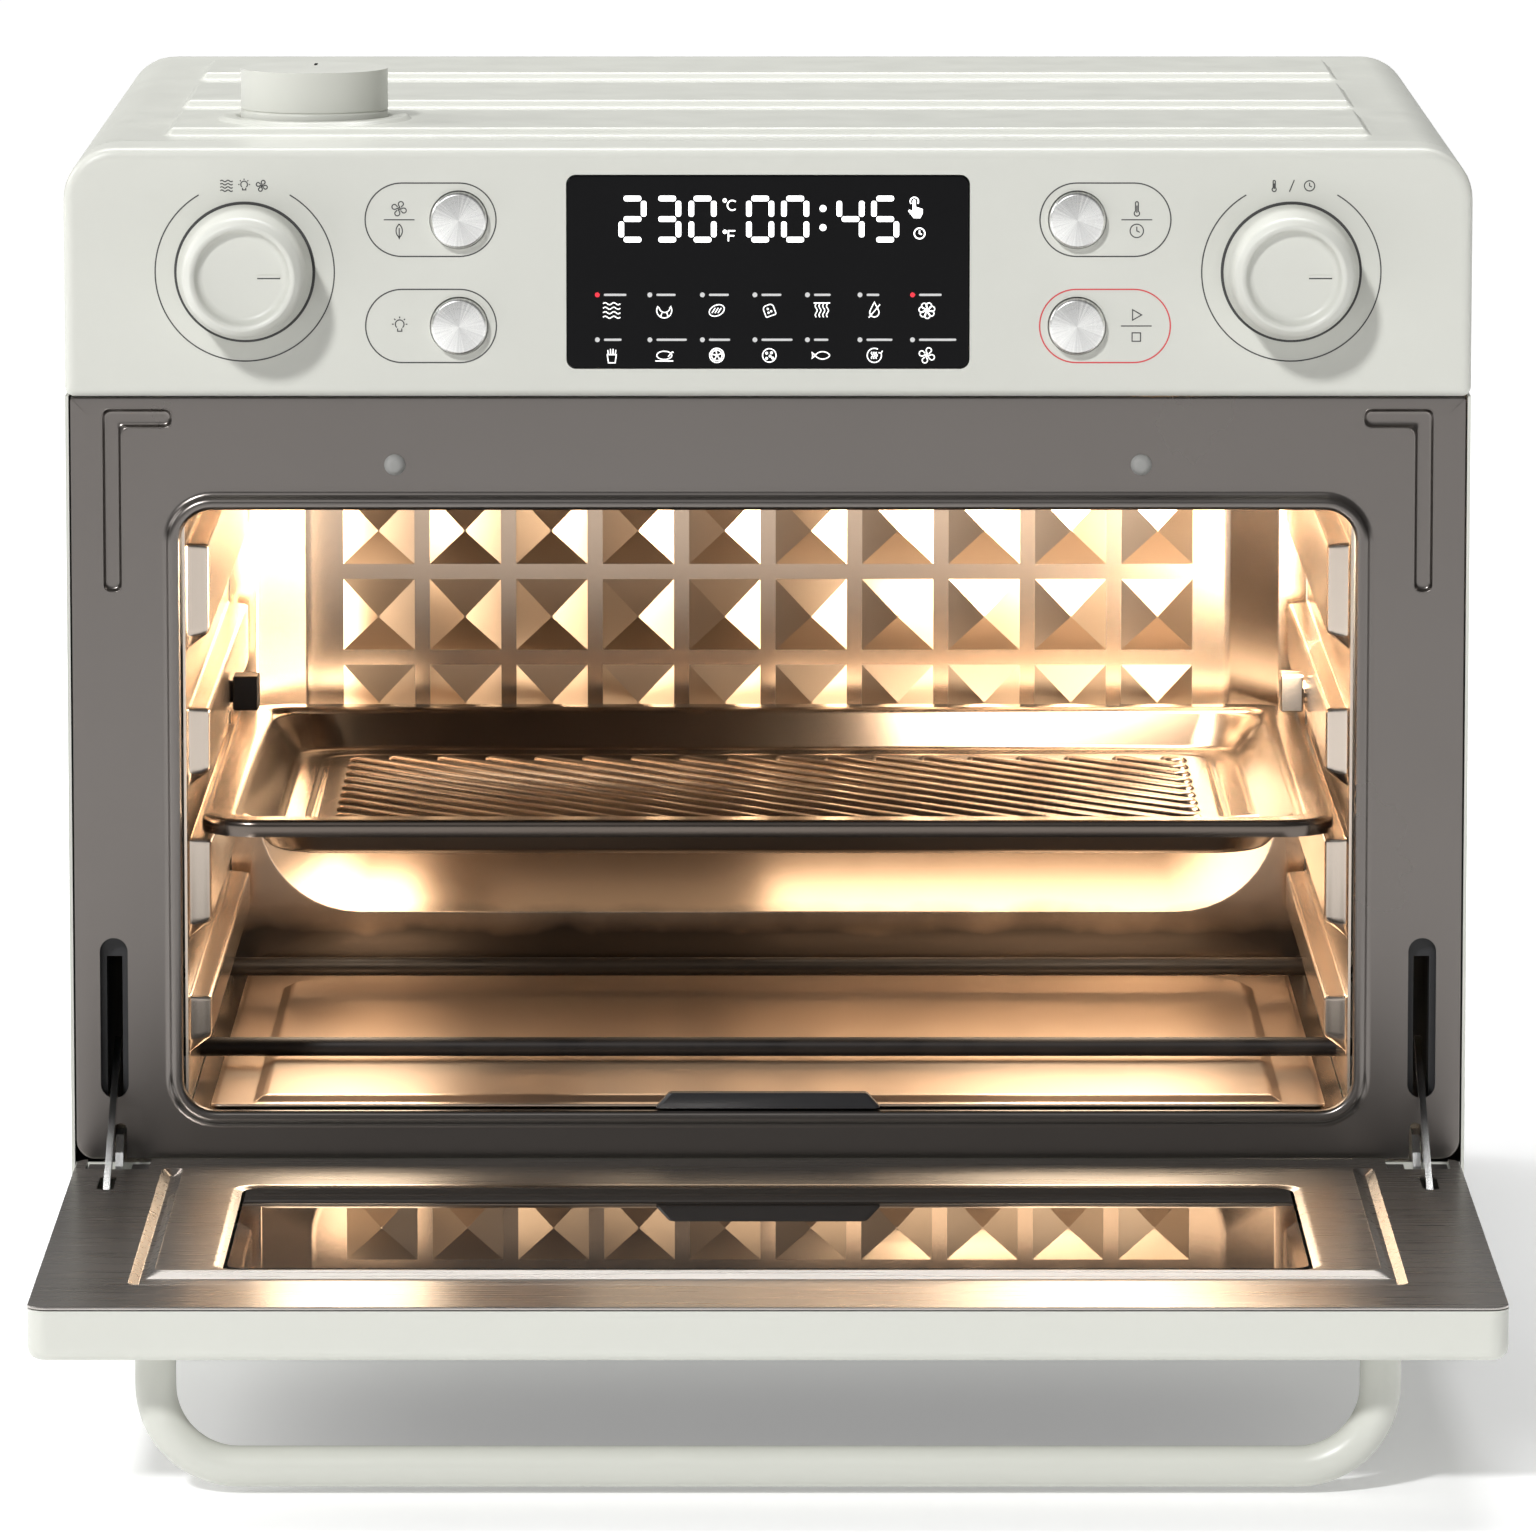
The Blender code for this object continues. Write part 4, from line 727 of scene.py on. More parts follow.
def build_key(node, body):
    """A spun metal cap with a chamfer round its face."""
    centre = middle(node)
    front = -low(node).y
    radius = 8.6
    profile = [(2.0, -high(node).y), (2.0, front - 7.2), (10.2, front - 7.2), (10.2, front - 6.0)]
    profile += [(radius, front - 6.0), (radius, front - 0.7), (radius - 0.7, front), (0.01, front)]
    rings = turned_rings(filleted(profile, 0.25, 3), (centre.x, centre.z, 0), 72)
    origin = (centre.x, -front, centre.z)
    key = solid(f"{node}_cap", rings, facing_front, SPUN, "spun_aluminium", body, origin)
    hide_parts(node)


def printed(name, paths, width, material, height, patches=()):
    """Line art on the panel's face: each path is (points, looped), and each patch an outline."""
    shape = bmesh.new()
    for points, looped in paths:
        add_ribbon(shape, points, width, facing_front, height, looped)
    for outline in patches:
        add_patch(shape, outline, facing_front, height)
    return link_piece(name, shape, material)


def lit_patches(name, patches, material, height):
    printed(name, [], 1, material, height, patches)


def wave(length, swing, periods, u=0.0, v=0.0, turn=0.0, steps=18):
    """An open wavy line about (u, v)."""
    shares = [step / steps for step in range(steps + 1)]
    points = [
        (length * (share - 0.5), swing * math.sin(2 * math.pi * periods * share)) for share in shares
    ]
    return moved(points, u, v, 1, turn), False


def line(*points):
    return points, False


def ring(radius, steps=28, u=0.0, v=0.0):
    return circle(radius, steps, (u, v)), True


def fan_icon(blades):
    """A hub and its blades, each an open loop that leans the same way."""
    petal = [(0.1, 0.16)] + arc((0.26, 0.66), 0.36, 200, -20, 8) + [(0.26, 0.2)]
    turns = [360 / blades * blade for blade in range(blades)]
    return [ring(0.14, 10)] + [(moved(petal, 0, 0, 1, turn), False) for turn in turns]


ICONS = {
    "waves": [wave(2.3, 0.14, 2.0, 0, v) for v in (-0.9, -0.3, 0.3, 0.9)],
    "grill": [
        line((-1.1, 1.0), (1.1, 1.0)),
        *(wave(1.8, 0.13, 1.5, u, 0, 90) for u in (-0.75, -0.25, 0.25, 0.75)),
    ],
    "crescent": [
        (arc((0, 0), 1.0, 150, 390, 20) + arc((0.05, 0.45), 0.72, 350, 190, 14), True),
        line((-0.5, -0.85), (-0.3, -0.35)),
        line((0.5, -0.8), (0.35, -0.3)),
    ],
    "steak": [
        (moved([(1.05 * u, 0.7 * v) for u, v in circle(1.0)], 0, 0, 1, 25), True),
        *(line((u - 0.25, -0.35), (u + 0.2, 0.35)) for u in (-0.4, 0.0, 0.4)),
    ],
    "toast": [
        (moved(rounded_rectangle((-0.7, 0.7), (-0.75, 0.75), 0.15, 0.45, 4), 0, 0, 1, 20), True),
        *(ring(0.08, 8, u, v) for u, v in ((-0.2, 0.2), (0.25, -0.1), (-0.1, -0.3))),
    ],
    "drop": [
        ([(0, 1.1), (0.42, 0.3), *arc((0, -0.25), 0.62, 35, -215, 16), (-0.42, 0.3)], True),
        line((-0.75, -0.95), (0.75, 0.8)),
    ],
    "fries": [
        ([(-0.6, 0.1), (0.6, 0.1), (0.45, -1.0), (-0.45, -1.0)], True),
        *(line((u, 0.1), (u * 1.2, 0.95 - abs(u) * 0.5)) for u in (-0.45, -0.15, 0.15, 0.45)),
    ],
    "roast": [
        ([(u, 0.55 * v) for u, v in circle(1.0)], True),
        line((0.5, -0.2), (1.05, 0.45), (1.25, 0.4)),
        line((-1.2, -0.75), (1.2, -0.75)),
    ],
    "pie": [
        ring(0.95),
        ring(0.7),
        *(line((0, 0), (0.9 * math.cos(a), 0.9 * math.sin(a))) for a in (0.4, 1.7, 2.9, 4.2, 5.4)),
    ],
    "biscuit": [
        ring(0.9),
        *(
            ring(0.12, 8, u, v)
            for u, v in ((-0.35, 0.3), (0.3, 0.35), (0.1, -0.1), (-0.35, -0.4), (0.45, -0.35))
        ),
    ],
    "fish": [
        (arc((0.1, -0.75), 1.25, 140, 42, 10) + arc((0.1, 0.75), 1.25, -42, -140, 10), True),
        ([(-0.85, 0.0), (-1.3, 0.4), (-1.2, 0.0), (-1.3, -0.4)], True),
    ],
    "reheat": [
        (arc((0, 0), 0.95, 60, 380, 24), False),
        line((0.55, 0.35), (0.9, 0.32), (1.1, 0.62)),
        *(wave(0.9, 0.1, 1.5, u, 0, 90) for u in (-0.3, 0, 0.3)),
    ],
    "bulb": [
        (arc((0, 0.25), 0.62, -50, 230, 20), False),
        line((-0.3, -0.35), (-0.3, -0.75), (0.3, -0.75), (0.3, -0.35)),
        *((moved([(0.85, 0), (1.1, 0)], 0, 0.25, 1, turn), False) for turn in range(0, 181, 45)),
    ],
    "thermometer": [
        (
            [(-0.2, -0.35), *arc((0, 0.8), 0.2, 180, 0, 6), (0.2, -0.35)]
            + arc((0, -0.68), 0.38, 58, -238, 14),
            True,
        ),
        line((0, -0.6), (0, 0.45)),
    ],
    "clock": [ring(0.95), line((0, 0.6), (0, 0), (0.42, -0.2))],
    "slash": [line((-0.45, -1.1), (0.45, 1.1))],
    "play": [([(-0.55, 0.75), (0.75, 0), (-0.55, -0.75)], True)],
    "stop": [([(-0.6, -0.6), (0.6, -0.6), (0.6, 0.6), (-0.6, 0.6)], True)],
    "leaf": [
        (arc((0.75, 0), 1.2, 128, 232, 12) + arc((-0.75, 0), 1.2, -52, 52, 12), True),
        line((0, -1.2), (0, 0.4)),
    ],
    "fan": fan_icon(4),
    "rotor": fan_icon(7),
}


def placed(icon, u, v, scale):
    return [(moved(points, u, v, scale), looped) for points, looped in ICONS[icon]]


def key_outline(node):
    """The rounded box printed round a key and its pictogram."""
    centre = middle(node)
    outward = math.copysign(1, centre.x)
    half_height = 11.25
    near, far = 11.4, 28.6
    across = sorted((centre.x - outward * near, centre.x + outward * far))
    span = (centre.z - half_height, centre.z + half_height)
    return rounded_rectangle(across, span, half_height - 0.01, steps=16), True


def build_panel_marks():
    """The printed rings, the key outlines and the pictograms on the panel."""
    face = -low("control_panel").y + PROUD
    ring_radius = 27.4
    ring_gap = 30.5
    rings = []
    pictograms = []
    captions = {
        "function_knob": ("waves", "bulb", "fan"),
        "setting_knob": ("thermometer", "slash", "clock"),
    }
    for node, icons in captions.items():
        centre = middle(node)
        rings.append((arc(centre.xz, ring_radius, 90 + ring_gap, 450 - ring_gap, 90), False))
        for offset, icon in zip((-5.4, 0.0, 5.4), icons):
            pictograms += placed(icon, centre.x + offset, centre.z + 26.4, 1.65)
    printed("knob_rings", rings, 0.40, INK, face)
    outlines = [key_outline(f"{key}_button") for key in KEYS]
    printed("key_outlines", outlines[:-1], 0.40, INK, face)
    printed("start_outline", outlines[-1:], 0.42, RED_INK, face)

    legend = (("fan", "leaf"), ("bulb",), ("thermometer", "clock"), ("play", "stop"))
    for key, icons in zip(KEYS, legend):
        centre = middle(f"{key}_button")
        u = centre.x + math.copysign(18.2, centre.x)
        for index, icon in enumerate(icons):
            v = centre.z + (0 if len(icons) == 1 else 3.4 - 6.8 * index)
            pictograms += placed(icon, u, v, 2.15)
        if len(icons) > 1:
            pictograms.append(line((u - 4.7, centre.z), (u + 4.7, centre.z)))
    printed("pictograms", pictograms, 0.34, INK, face)


# ---- display ----


SEGMENTS = {
    "a": ((0, 1), (1, 1)),
    "b": ((1, 1), (1, 0.5)),
    "c": ((1, 0.5), (1, 0)),
    "d": ((1, 0), (0, 0)),
    "e": ((0, 0.5), (0, 0)),
    "f": ((0, 1), (0, 0.5)),
    "g": ((0, 0.5), (1, 0.5)),
}
DIGITS = {"0": "abcdef", "2": "abged", "3": "abgcd", "4": "fgbc", "5": "afgcd"}


def digit_patches(digit, u, v, width, height, stroke):
    """A rounded bar for each lit segment of a digit."""
    gap = 0.72
    patches = []
    for segment in DIGITS[digit]:
        corners = SEGMENTS[segment]
        corner_u = [u + (a - 0.5) * width for a, _ in corners]
        corner_v = [v + (b - 0.5) * height for _, b in corners]
        flat = corner_v[0] == corner_v[1]
        trim_u = gap if flat else -stroke / 2
        trim_v = -stroke / 2 if flat else gap
        span_u = (min(corner_u) + trim_u, max(corner_u) - trim_u)
        span_v = (min(corner_v) + trim_v, max(corner_v) - trim_v)
        patches.append(rounded_rectangle(span_u, span_v, stroke * 0.42, steps=4))
    return patches


def hand_patches(u, v, scale):
    """A pressing hand: a raised finger and a closed palm."""
    finger = rounded_rectangle((-0.22, 0.06), (-0.25, 0.72), 0.13, steps=4)
    palm = [(-0.22, -0.05), (-0.22, -0.3), (-0.52, -0.16), (-0.62, -0.3), (-0.12, -0.92)]
    palm += [(0.46, -0.92), (0.66, -0.5), (0.66, -0.12), (0.06, 0.08)]
    return [moved(outline, u, v, scale) for outline in (finger, palm[::-1])]


def build_display():
    """The glass and everything that is lit behind it."""
    lowest, highest = ends("display_window")
    front = -lowest.y
    profile = filleted([(0, -highest.y), (0, front), (3, front)], 0.4, 3)
    rings = inset_rings(highest.x, (lowest.z, highest.z), (2.8, 2.8), profile)
    window = solid("display_glass", rings, facing_front, DISPLAY_GLASS, "display_glass")
    weigh_normals(window)
    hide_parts("display_window")
    build_readout(front + PROUD, middle("display_window").z + 16.25)
    build_programmes(front + PROUD)


def build_readout(face, line_z):
    """The lit digits, with the units and marks beside them."""
    places = {-41.4: "2", -30.8: "3", -20.0: "0", -2.4: "0", 8.3: "0", 25.2: "4", 35.8: "5"}
    digits = []
    for u, digit in places.items():
        digits += digit_patches(digit, u, line_z, 6.85, 12.6, 1.7)
    digits += [circle(1.05, 20, (16.8, line_z + rise)) for rise in (3.25, -2.6)]
    lit_patches("lit_digits", digits, LIT, face)

    celsius_z = line_z + 4.2
    fahrenheit_z = line_z - 5.2
    stem_u = -12.1
    units = [
        ring(0.45, 12, -13.2, celsius_z + 1.5),
        (arc((-10.9, celsius_z), 1.5, 48, 312, 14), False),
        ring(0.45, 12, -13.2, fahrenheit_z + 1.3),
        (moved([(0, -1.6), (0, 1.6), (2.1, 1.6)], stem_u, fahrenheit_z), False),
        (moved([(0, 0.1), (1.8, 0.1)], stem_u, fahrenheit_z), False),
    ]
    units += placed("clock", 46.3, line_z - 4.4, 1.7)
    units.append((arc((44.7, line_z + 5.4), 1.25, -35, 215, 14), False))
    hand = hand_patches(44.95, line_z + 3.5, 3.5)
    printed("lit_units", units, 0.40, LIT, face, hand)


def build_programmes(face):
    """Two rows of programme pictograms, each with a small lamp and a caption bar."""
    pitch = 16.07
    programmes = (
        (
            263.2,
            ("waves", "crescent", "steak", "toast", "grill", "drop", "rotor"),
            (6.9, 5.9, 6.1, 6.1, 5.1, 3.9, 6.9),
        ),
        (
            249.4,
            ("fries", "roast", "pie", "biscuit", "fish", "reheat", "fan"),
            (5.4, 9.3, 6.5, 9.5, 4.4, 7.9, 11.4),
        ),
    )
    icons = []
    captions = []
    lamps = []
    for z, names, lengths in programmes:
        for column, (name, length) in enumerate(zip(names, lengths)):
            lamp_u = (column - 3) * pitch - 4.0
            start = lamp_u + 2.0
            icons += placed(name, lamp_u + 4.4, z, 2.3)
            bar = rounded_rectangle((start, start + length), (z + 4.45, z + 5.15), 0.34, steps=3)
            captions.append(bar)
            lamps.append(circle(0.75, 14, (lamp_u, z + 4.8)))
    printed("programme_pictograms", icons, 0.34, LIT_ICON, face)
    lit_patches("programme_captions", captions, DIM_LAMP, face)
    lit_patches("programme_lamps", lamps[1:6] + lamps[7:], DIM_LAMP, face)
    lit_patches("programme_lamps_on", lamps[0:7:6], RED_LAMP, face)


# ---- front frame ----


def build_front_frame():
    """The steel frame with its rolled rim, and the marks pressed into its upper corners."""
    lowest, highest = ends("front_frame")
    opening = (180.6, (14.4, 201.4), (10, 10))
    link_slot_z = (18.2, 68.3)
    arm_slot_z = (lowest.z - 2, 10.3)
    stop_x, stop_z = 114.5, 215.3
    outer = filleted([(0, -FRAME_FLANGE), (0, 0), (6, 0)], 0.7, 3)
    rings = inset_rings(highest.x, (lowest.z, highest.z), (6, 1), outer)
    rim = filleted([(-9, 0), (-4.6, 0), (-3.2, 2.0), (-0.9, 2.0), (0, 0.9), (0, -1.2)], 1.5, 6)
    rings += inset_rings(*opening, rim)
    steel = (FRAME_STEEL, "brushed_steel")
    plate = sheet("frame_plate", rings, facing_front, 0.8, *steel, close_last=False)
    holes = []
    for side, sign in SIDES:
        link = middle(f"{side}_door_link").x
        arm = middle(f"{side}_hinge_arm").x
        holes += [
            rounded_rectangle((link - 4.3, link + 4.3), link_slot_z, 4.29, steps=12),
            rounded_rectangle((arm - 1.9, arm + 1.9), arm_slot_z, 0.5, 1.85),
            corner_mark(sign, 0),
        ]
        profile = filleted([(0, 0), (0.3, 0), (1.2, -1.3), (2.2, -1.3)], 0.5, 4)
        rings = [lifted(corner_mark(sign, inset), height) for inset, height in profile]
        sheet(f"corner_mark_{side}", rings, facing_front, 0.3, *steel)
    carve(plate, [(hole, facing_front, -6, 6) for hole in holes])
    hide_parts("front_frame")

    for side, sign in SIDES:
        profile = filleted([(3.3, -0.2), (3.2, 0.8), (2.0, 2.3), (0.01, 2.4)], 1.2, 5)
        rings = turned_rings(profile, (sign * stop_x, stop_z, 0), 32)
        solid(f"door_stop_{side}", rings, facing_front, FEET, "grey_rubber")


def corner_mark(sign, inset):
    """The L's outline, drawn in by an inset, with rounded ends."""
    outer_x = 204.5 - inset
    inner_x = 198.2 + inset
    top = 232.8 - inset
    under = 226.5 + inset
    end_x = 182.5 + inset
    low_z = 175.7 + inset
    start = (outer_x, (top + low_z) / 2)
    corners = [(outer_x, top), (end_x, top), (end_x, under)]
    corners += [(inner_x, under), (inner_x, low_z), (outer_x, low_z)]
    path = filleted([start, *corners, start], max(3.0 - inset, 0.8), 6)[:-1]
    return [(sign * u, v) for u, v in path][::sign]


# ---- cavity ----


def side_wall_profile():
    """(z, depth) up a side wall: ridges that are level on top and slope away below."""
    depth = 7.0
    points = [(14.4, 0.0)]
    for bottom, top in ((31.0, 49.0), (67.0, 98.2), (114.0, 139.0), (157.0, 190.0)):
        points += [(bottom, 0.0), (bottom + 5, depth), (top - 0.6, depth), (top - 0.1, 0.0)]
    points.append((213.5, 0.0))
    return filleted(points, 1.4, 4)


def build_side_walls():
    """The walls, with ridges that run from front to back and holes for the heaters."""
    face = 179.2
    heater_hole = 4.4
    for side, sign in SIDES:
        node = f"cavity_{side}_wall"
        shares = [(low(node).y, 0), (7.5, 0), (10.5, 1), (263.5, 1), (266.5, 0), (high(node).y, 0)]
        lengthways = filleted(shares, 1.2, 4)
        rings = []
        for z, depth in side_wall_profile():
            rings.append([(sign * (face - depth * share), y, z) for y, share in lengthways])
        finish = (CAVITY_STEEL, "cavity_steel", BODY, 60)
        wall = sheet(f"{side}_wall_sheet", rings[::-sign], facing_up, 0.8, *finish, **OPEN_ENDED)
        # The wall's outer side is near-black: painted shade for what shows through its holes.
        line_with(wall, SHADE_LINING)
        span = sorted((sign * 165, sign * 190))
        holes = [circle(heater_hole, 24, middle(heater).yz) for heater in HEATERS]
        carve(wall, [(hole, facing_right, *span) for hole in holes])
        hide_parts(node)


def build_back_wall():
    """The dished back wall, and its grid of pyramids."""
    lowest, highest = ends("cavity_back_wall")
    depth = 10.0
    rings = inset_rings(highest.x, (lowest.z, highest.z), (1, 1), [(0, 0)])
    dish = filleted([(0.0, 0.0), (0.04, 0.0), (0.84, 1.0), (1.0, 1.0)], 0.22, 8)
    mouth = (170.5, 32.0, 212.0, 34.0, 20.0)
    bed = (150.0, 60.0, 205.5, 20.0, 12.0)
    for share, drop in dish:
        half, bottom, top, *radii = (a + (b - a) * share for a, b in zip(mouth, bed))
        outline = rounded_rectangle((-half, half), (bottom, top), *radii)
        rings.append(lifted(outline, -depth * drop))

    def on_wall(point):
        return (point[0], lowest.y - point[2], point[1])

    # The back wall's sheet carries painted shade at its foot.
    finish = (BACK_STEEL, "cavity_steel", BODY, 50)
    wall = sheet("back_wall_sheet", rings, on_wall, 0.8, *finish)
    weigh_normals(wall)
    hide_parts("cavity_back_wall")

    pitch = 28.8
    lowest_row = 74.3
    half_base = 11.5
    height = 6.0
    profile = ((1.06, -0.1), (1.0, 0.12), (0.06, height - 0.25), (0.02, height - 0.12))
    grid = bmesh.new()
    for column in range(10):
        for row in range(5):
            u = (column - 4.5) * pitch
            v = lowest_row + row * pitch
            rings = []
            for share, lift in profile:
                half = half_base * share
                corners = ((-half, -half), (half, -half), (half, half), (-half, half))
                rings.append([(u + a, v + b, lift - depth) for a, b in corners])
            add_rings(grid, rings, on_wall, close_first=True)
    link_piece("pyramid_grid", grid, PYRAMID_STEEL, smooth_angle=15)


def build_heaters():
    """Smooth sheaths that run into ceramic terminals."""
    for node in HEATERS:
        centre = middle(node)
        reach = high(node).x
        rings = turned_rings([(3.0, -reach + 3), (3.0, reach - 3)], (centre.y, centre.z, 0), 32)
        rod = solid(f"{node}_sheath", rings, facing_right, HEATER, "heater_steel")
        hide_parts(node)
        for side, sign in SIDES:
            profile = filleted([(3.1, 0), (5, 0), (5, 8), (3.1, 8)], 1.0, 4)
            start = sign * (reach - 4) - 4
            rings = turned_rings(profile, (centre.y, centre.z, start), 24)
            solid(f"{node}_bead_{side}", rings, facing_right, CERAMIC, "ceramic")


# ---- trays ----


def build_baking_tray():
    """The deep tray, with a rolled rim and diagonal ribs across its floor."""
    lowest, highest = ends("baking_tray")
    rim_z = highest.z
    floor_z = rim_z - 12.8
    span = (lowest.y, highest.y)
    corners = [(0, -5.2), (0, 0), (9.5, 0), (11.5, -1.0), (21.0, -12.8), (29.0, -12.8), (30.5, -13.4)]
    corners += [(32.0, -12.8), (36.0, -12.8)]
    rings = []
    for inset, height in filleted(corners, 2.2, 6):
        radius = 18 if inset < 12 else 26 + inset * 0.55
        rings += inset_rings(highest.x, span, (radius, radius), [(inset, height + rim_z)])
    tray = sheet("tray_pressing", rings, facing_up, 0.8, TRAY_COAT, "tray_enamel", "tray", 50)
    weigh_normals(tray)
    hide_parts("baking_tray")

    pitch = 11.2
    rib_half_width, rib_height = 3.2, 1.7
    field = ((-139.0, 139.0), (span[0] + 38, span[1] - 38))
    along = Vector((-1, 1)).normalized()
    across = Vector((-1, -1)).normalized()
    centre = Vector((0, sum(span) / 2))
    ribs = bmesh.new()
    for index in range(-30, 31):
        stretch = clip_line(centre + across * pitch * index, along, *field)
        if stretch:
            add_rib(ribs, *stretch, rib_half_width, rib_height, floor_z)
    link_piece("tray_ribs", ribs, TRAY_COAT, "tray", smooth_angle=60)


def clip_line(point, along, u, v):
    """The two ends of a line's stretch inside a rectangle, or None if it is too short."""
    shortest, margin = 12, 3
    nearest, farthest = -math.inf, math.inf
    for axis, span in enumerate((u, v)):
        hits = sorted((limit - point[axis]) / along[axis] for limit in span)
        nearest = max(nearest, hits[0])
        farthest = min(farthest, hits[1])
    if farthest - nearest < shortest:
        return None
    return point + along * (nearest + margin), point + along * (farthest - margin)


def add_rib(shape, start, end, half_width, height, base_z):
    """A long low ridge with rounded ends."""
    along = (end - start).normalized()
    across = Vector((-along.y, along.x))
    taper = ((0.0, 0.05), (0.7, 0.55), (2.2, 0.9), (4.0, 1.0))
    stations = [(start + along * reach, share) for reach, share in taper]
    stations += [(end - along * reach, share) for reach, share in reversed(taper)]
    rings = []
    for point, share in stations:
        section = []
        for u, v in arc((0, 0), 1.0, 180, 0, 6):
            side = point + across * half_width * share * u
            section.append((side.x, side.y, base_z - 0.1 + height * share * v))
        rings.append(section)
    add_rings(shape, rings, close_first=True)


def build_crumb_tray():
    """The low tray with a raised field, and its black tab."""
    lowest, highest = ends("crumb_tray")
    plane = highest.z - 2.0
    field = (160.5, (lowest.y + 2.2, 242), (2, 20))
    rings = inset_rings(highest.x, (lowest.y, highest.y), (3, 3), [(0, plane), (2, plane)])
    raised = filleted([(0, plane), (1.0, plane), (4.5, plane + 2), (7, plane + 2)], 1.6, 5)
    rings += inset_rings(*field, raised)
    finish = (CRUMB_STEEL, "cavity_steel", "crumb_drawer")
    tray = sheet("crumb_sheet", rings, facing_up, 0.8, *finish)
    weigh_normals(tray)
    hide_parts("crumb_tray")

    tab_low, tab_high = ends("crumb_tray_handle")
    start = (0, tab_low.z)
    corners = [(35, tab_low.z), (30.5, tab_high.z), (-30.5, tab_high.z), (-35, tab_low.z)]
    path = filleted([start, *corners, start], 0.9, 4)[:-1]
    rings = []
    for height, share in ((-tab_high.y, 1.0), (-tab_low.y - 0.4, 1.0), (-tab_low.y, 0.97)):
        rings.append([(u * share, v, height) for u, v in path])
    finish = (DARK_PLASTIC, "black_plastic", "crumb_drawer")
    handle = solid("crumb_tray_tab", rings, facing_front, *finish)
    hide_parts("crumb_tray_handle")


# ---- door ----


def door_channel(inset):
    """The U round the window, as an outline drawn in by an inset."""
    sideways = inset * 0.55
    outer_x = 186.5 - sideways
    inner_x = 179.5 + sideways
    front = -211.5 + inset
    inner_front = -188.0 - inset
    back = -21.0 - sideways
    half = [(outer_x, front), (outer_x, back), (inner_x, back), (inner_x, inner_front)]
    mirrored = [(-x, y) for x, y in reversed(half)]
    start = (0, front)
    return filleted([start, *half, *mirrored, start], max(3.4 - sideways, SHARPEST), 8)[:-1]


def arm_pocket(side, bottom):
    """The cut that a hinge arm folds into."""
    arm = middle(f"{side}_hinge_arm").x
    return rounded_rectangle((arm - 9.8, arm + 9.8), (-23, 0), 1.5), facing_up, bottom, 3


def build_door_sheet():
    """The steel lining with its window recess, its channel and the hinges' pockets."""
    lowest, highest = ends("door_inner_sheet")
    window = (160.0, (-185.5, -51.8), (5, 5))
    link_pocket_y = (-58, -36)
    edge = filleted([(0, -0.8), (0, 0), (3, 0)], 0.5, 3)
    rings = inset_rings(highest.x, (lowest.y, highest.y), (6, 6), edge)
    recess = filleted([(-4.5, 0), (-2.2, 0), (0, -0.9)], 1.0, 5)
    rings += inset_rings(*window, recess)
    steel = (DOOR_STEEL, "brushed_steel", "door")
    lining = sheet("door_lining", rings, facing_up, 0.6, *steel, close_last=False)
    cuts = [(door_channel(0), facing_up, -3, 3)]
    for side, _ in SIDES:
        link = middle(f"{side}_door_link").x
        pocket = rounded_rectangle((link - 2.6, link + 2.6), link_pocket_y, 2.5)
        cuts += [arm_pocket(side, -14), (pocket, facing_up, -12, 3)]
    carve(lining, cuts)
    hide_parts("door_inner_sheet")

    profile = filleted([(0, 0), (0.4, 0), (5.2, -1.9), (5.8, -1.9)], 0.8, 5)
    rings = [lifted(door_channel(inset), height) for inset, height in profile]
    sheet("door_channel", rings, facing_up, 0.3, *steel)


def build_door_frame():
    """The painted pan round the door's outer glass."""
    lowest, highest = ends("door_frame")
    depth = -lowest.z
    window = (172.0, (41.8, 195.5), (8, 8))
    corners = filleted([(0, -highest.z), (0, depth), (9, depth)], 6.0, 9)
    rings = inset_rings(highest.x, (-highest.y, -lowest.y), (6, 6), corners)
    lip = filleted([(-4, depth), (0, depth), (0, depth - 2.2)], 0.8, 4)
    rings += inset_rings(*window, lip)
    finish = (ENAMEL, "white_paint", "door")
    pan = sheet("door_pan", rings, facing_down, 2.0, *finish, close_last=False)
    carve(pan, [arm_pocket(side, -12.8) for side, _ in SIDES])
    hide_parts("door_frame")


def build_handle():
    """The bow handle: one bent tube."""
    lowest, highest = ends("door_handle")
    radius = (highest.y - lowest.y) / 2
    y = middle("door_handle").y
    leg_x = highest.x - radius
    bend = 24.0
    bend_z = lowest.z + radius + bend
    half = [(-leg_x, highest.z), (-leg_x, bend_z + 3)]
    half += arc((-leg_x + bend, bend_z), bend, 180, 270, 16)
    path = [(x, y, z) for x, z in half] + [(-x, y, z) for x, z in reversed(half)]
    rings = tube_rings(path, radius, 32)
    tube = solid("handle_tube", rings, facing_up, ENAMEL, "white_paint", "door", smooth_angle=50)
    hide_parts("door_handle")


def build_link_pins():
    """The pin that each link hooks on; the links and the hinge arms keep their CAD shapes."""
    for side, _ in SIDES:
        node = f"{side}_door_link"
        centre = (low(node).y + 2, low(node).z + 2, middle(node).x)
        rings = turned_rings([(0.9, -2.4), (0.9, 2.4)], centre, 16)
        solid(f"{side}_link_pin", rings, facing_right, BRIGHT_STEEL, "zinc_plate", "door")


# ---- the CAD nodes that stay ----


def dress(material, *names):
    for name in names:
        for slot in NODES[name].material_slots:
            slot.material = material


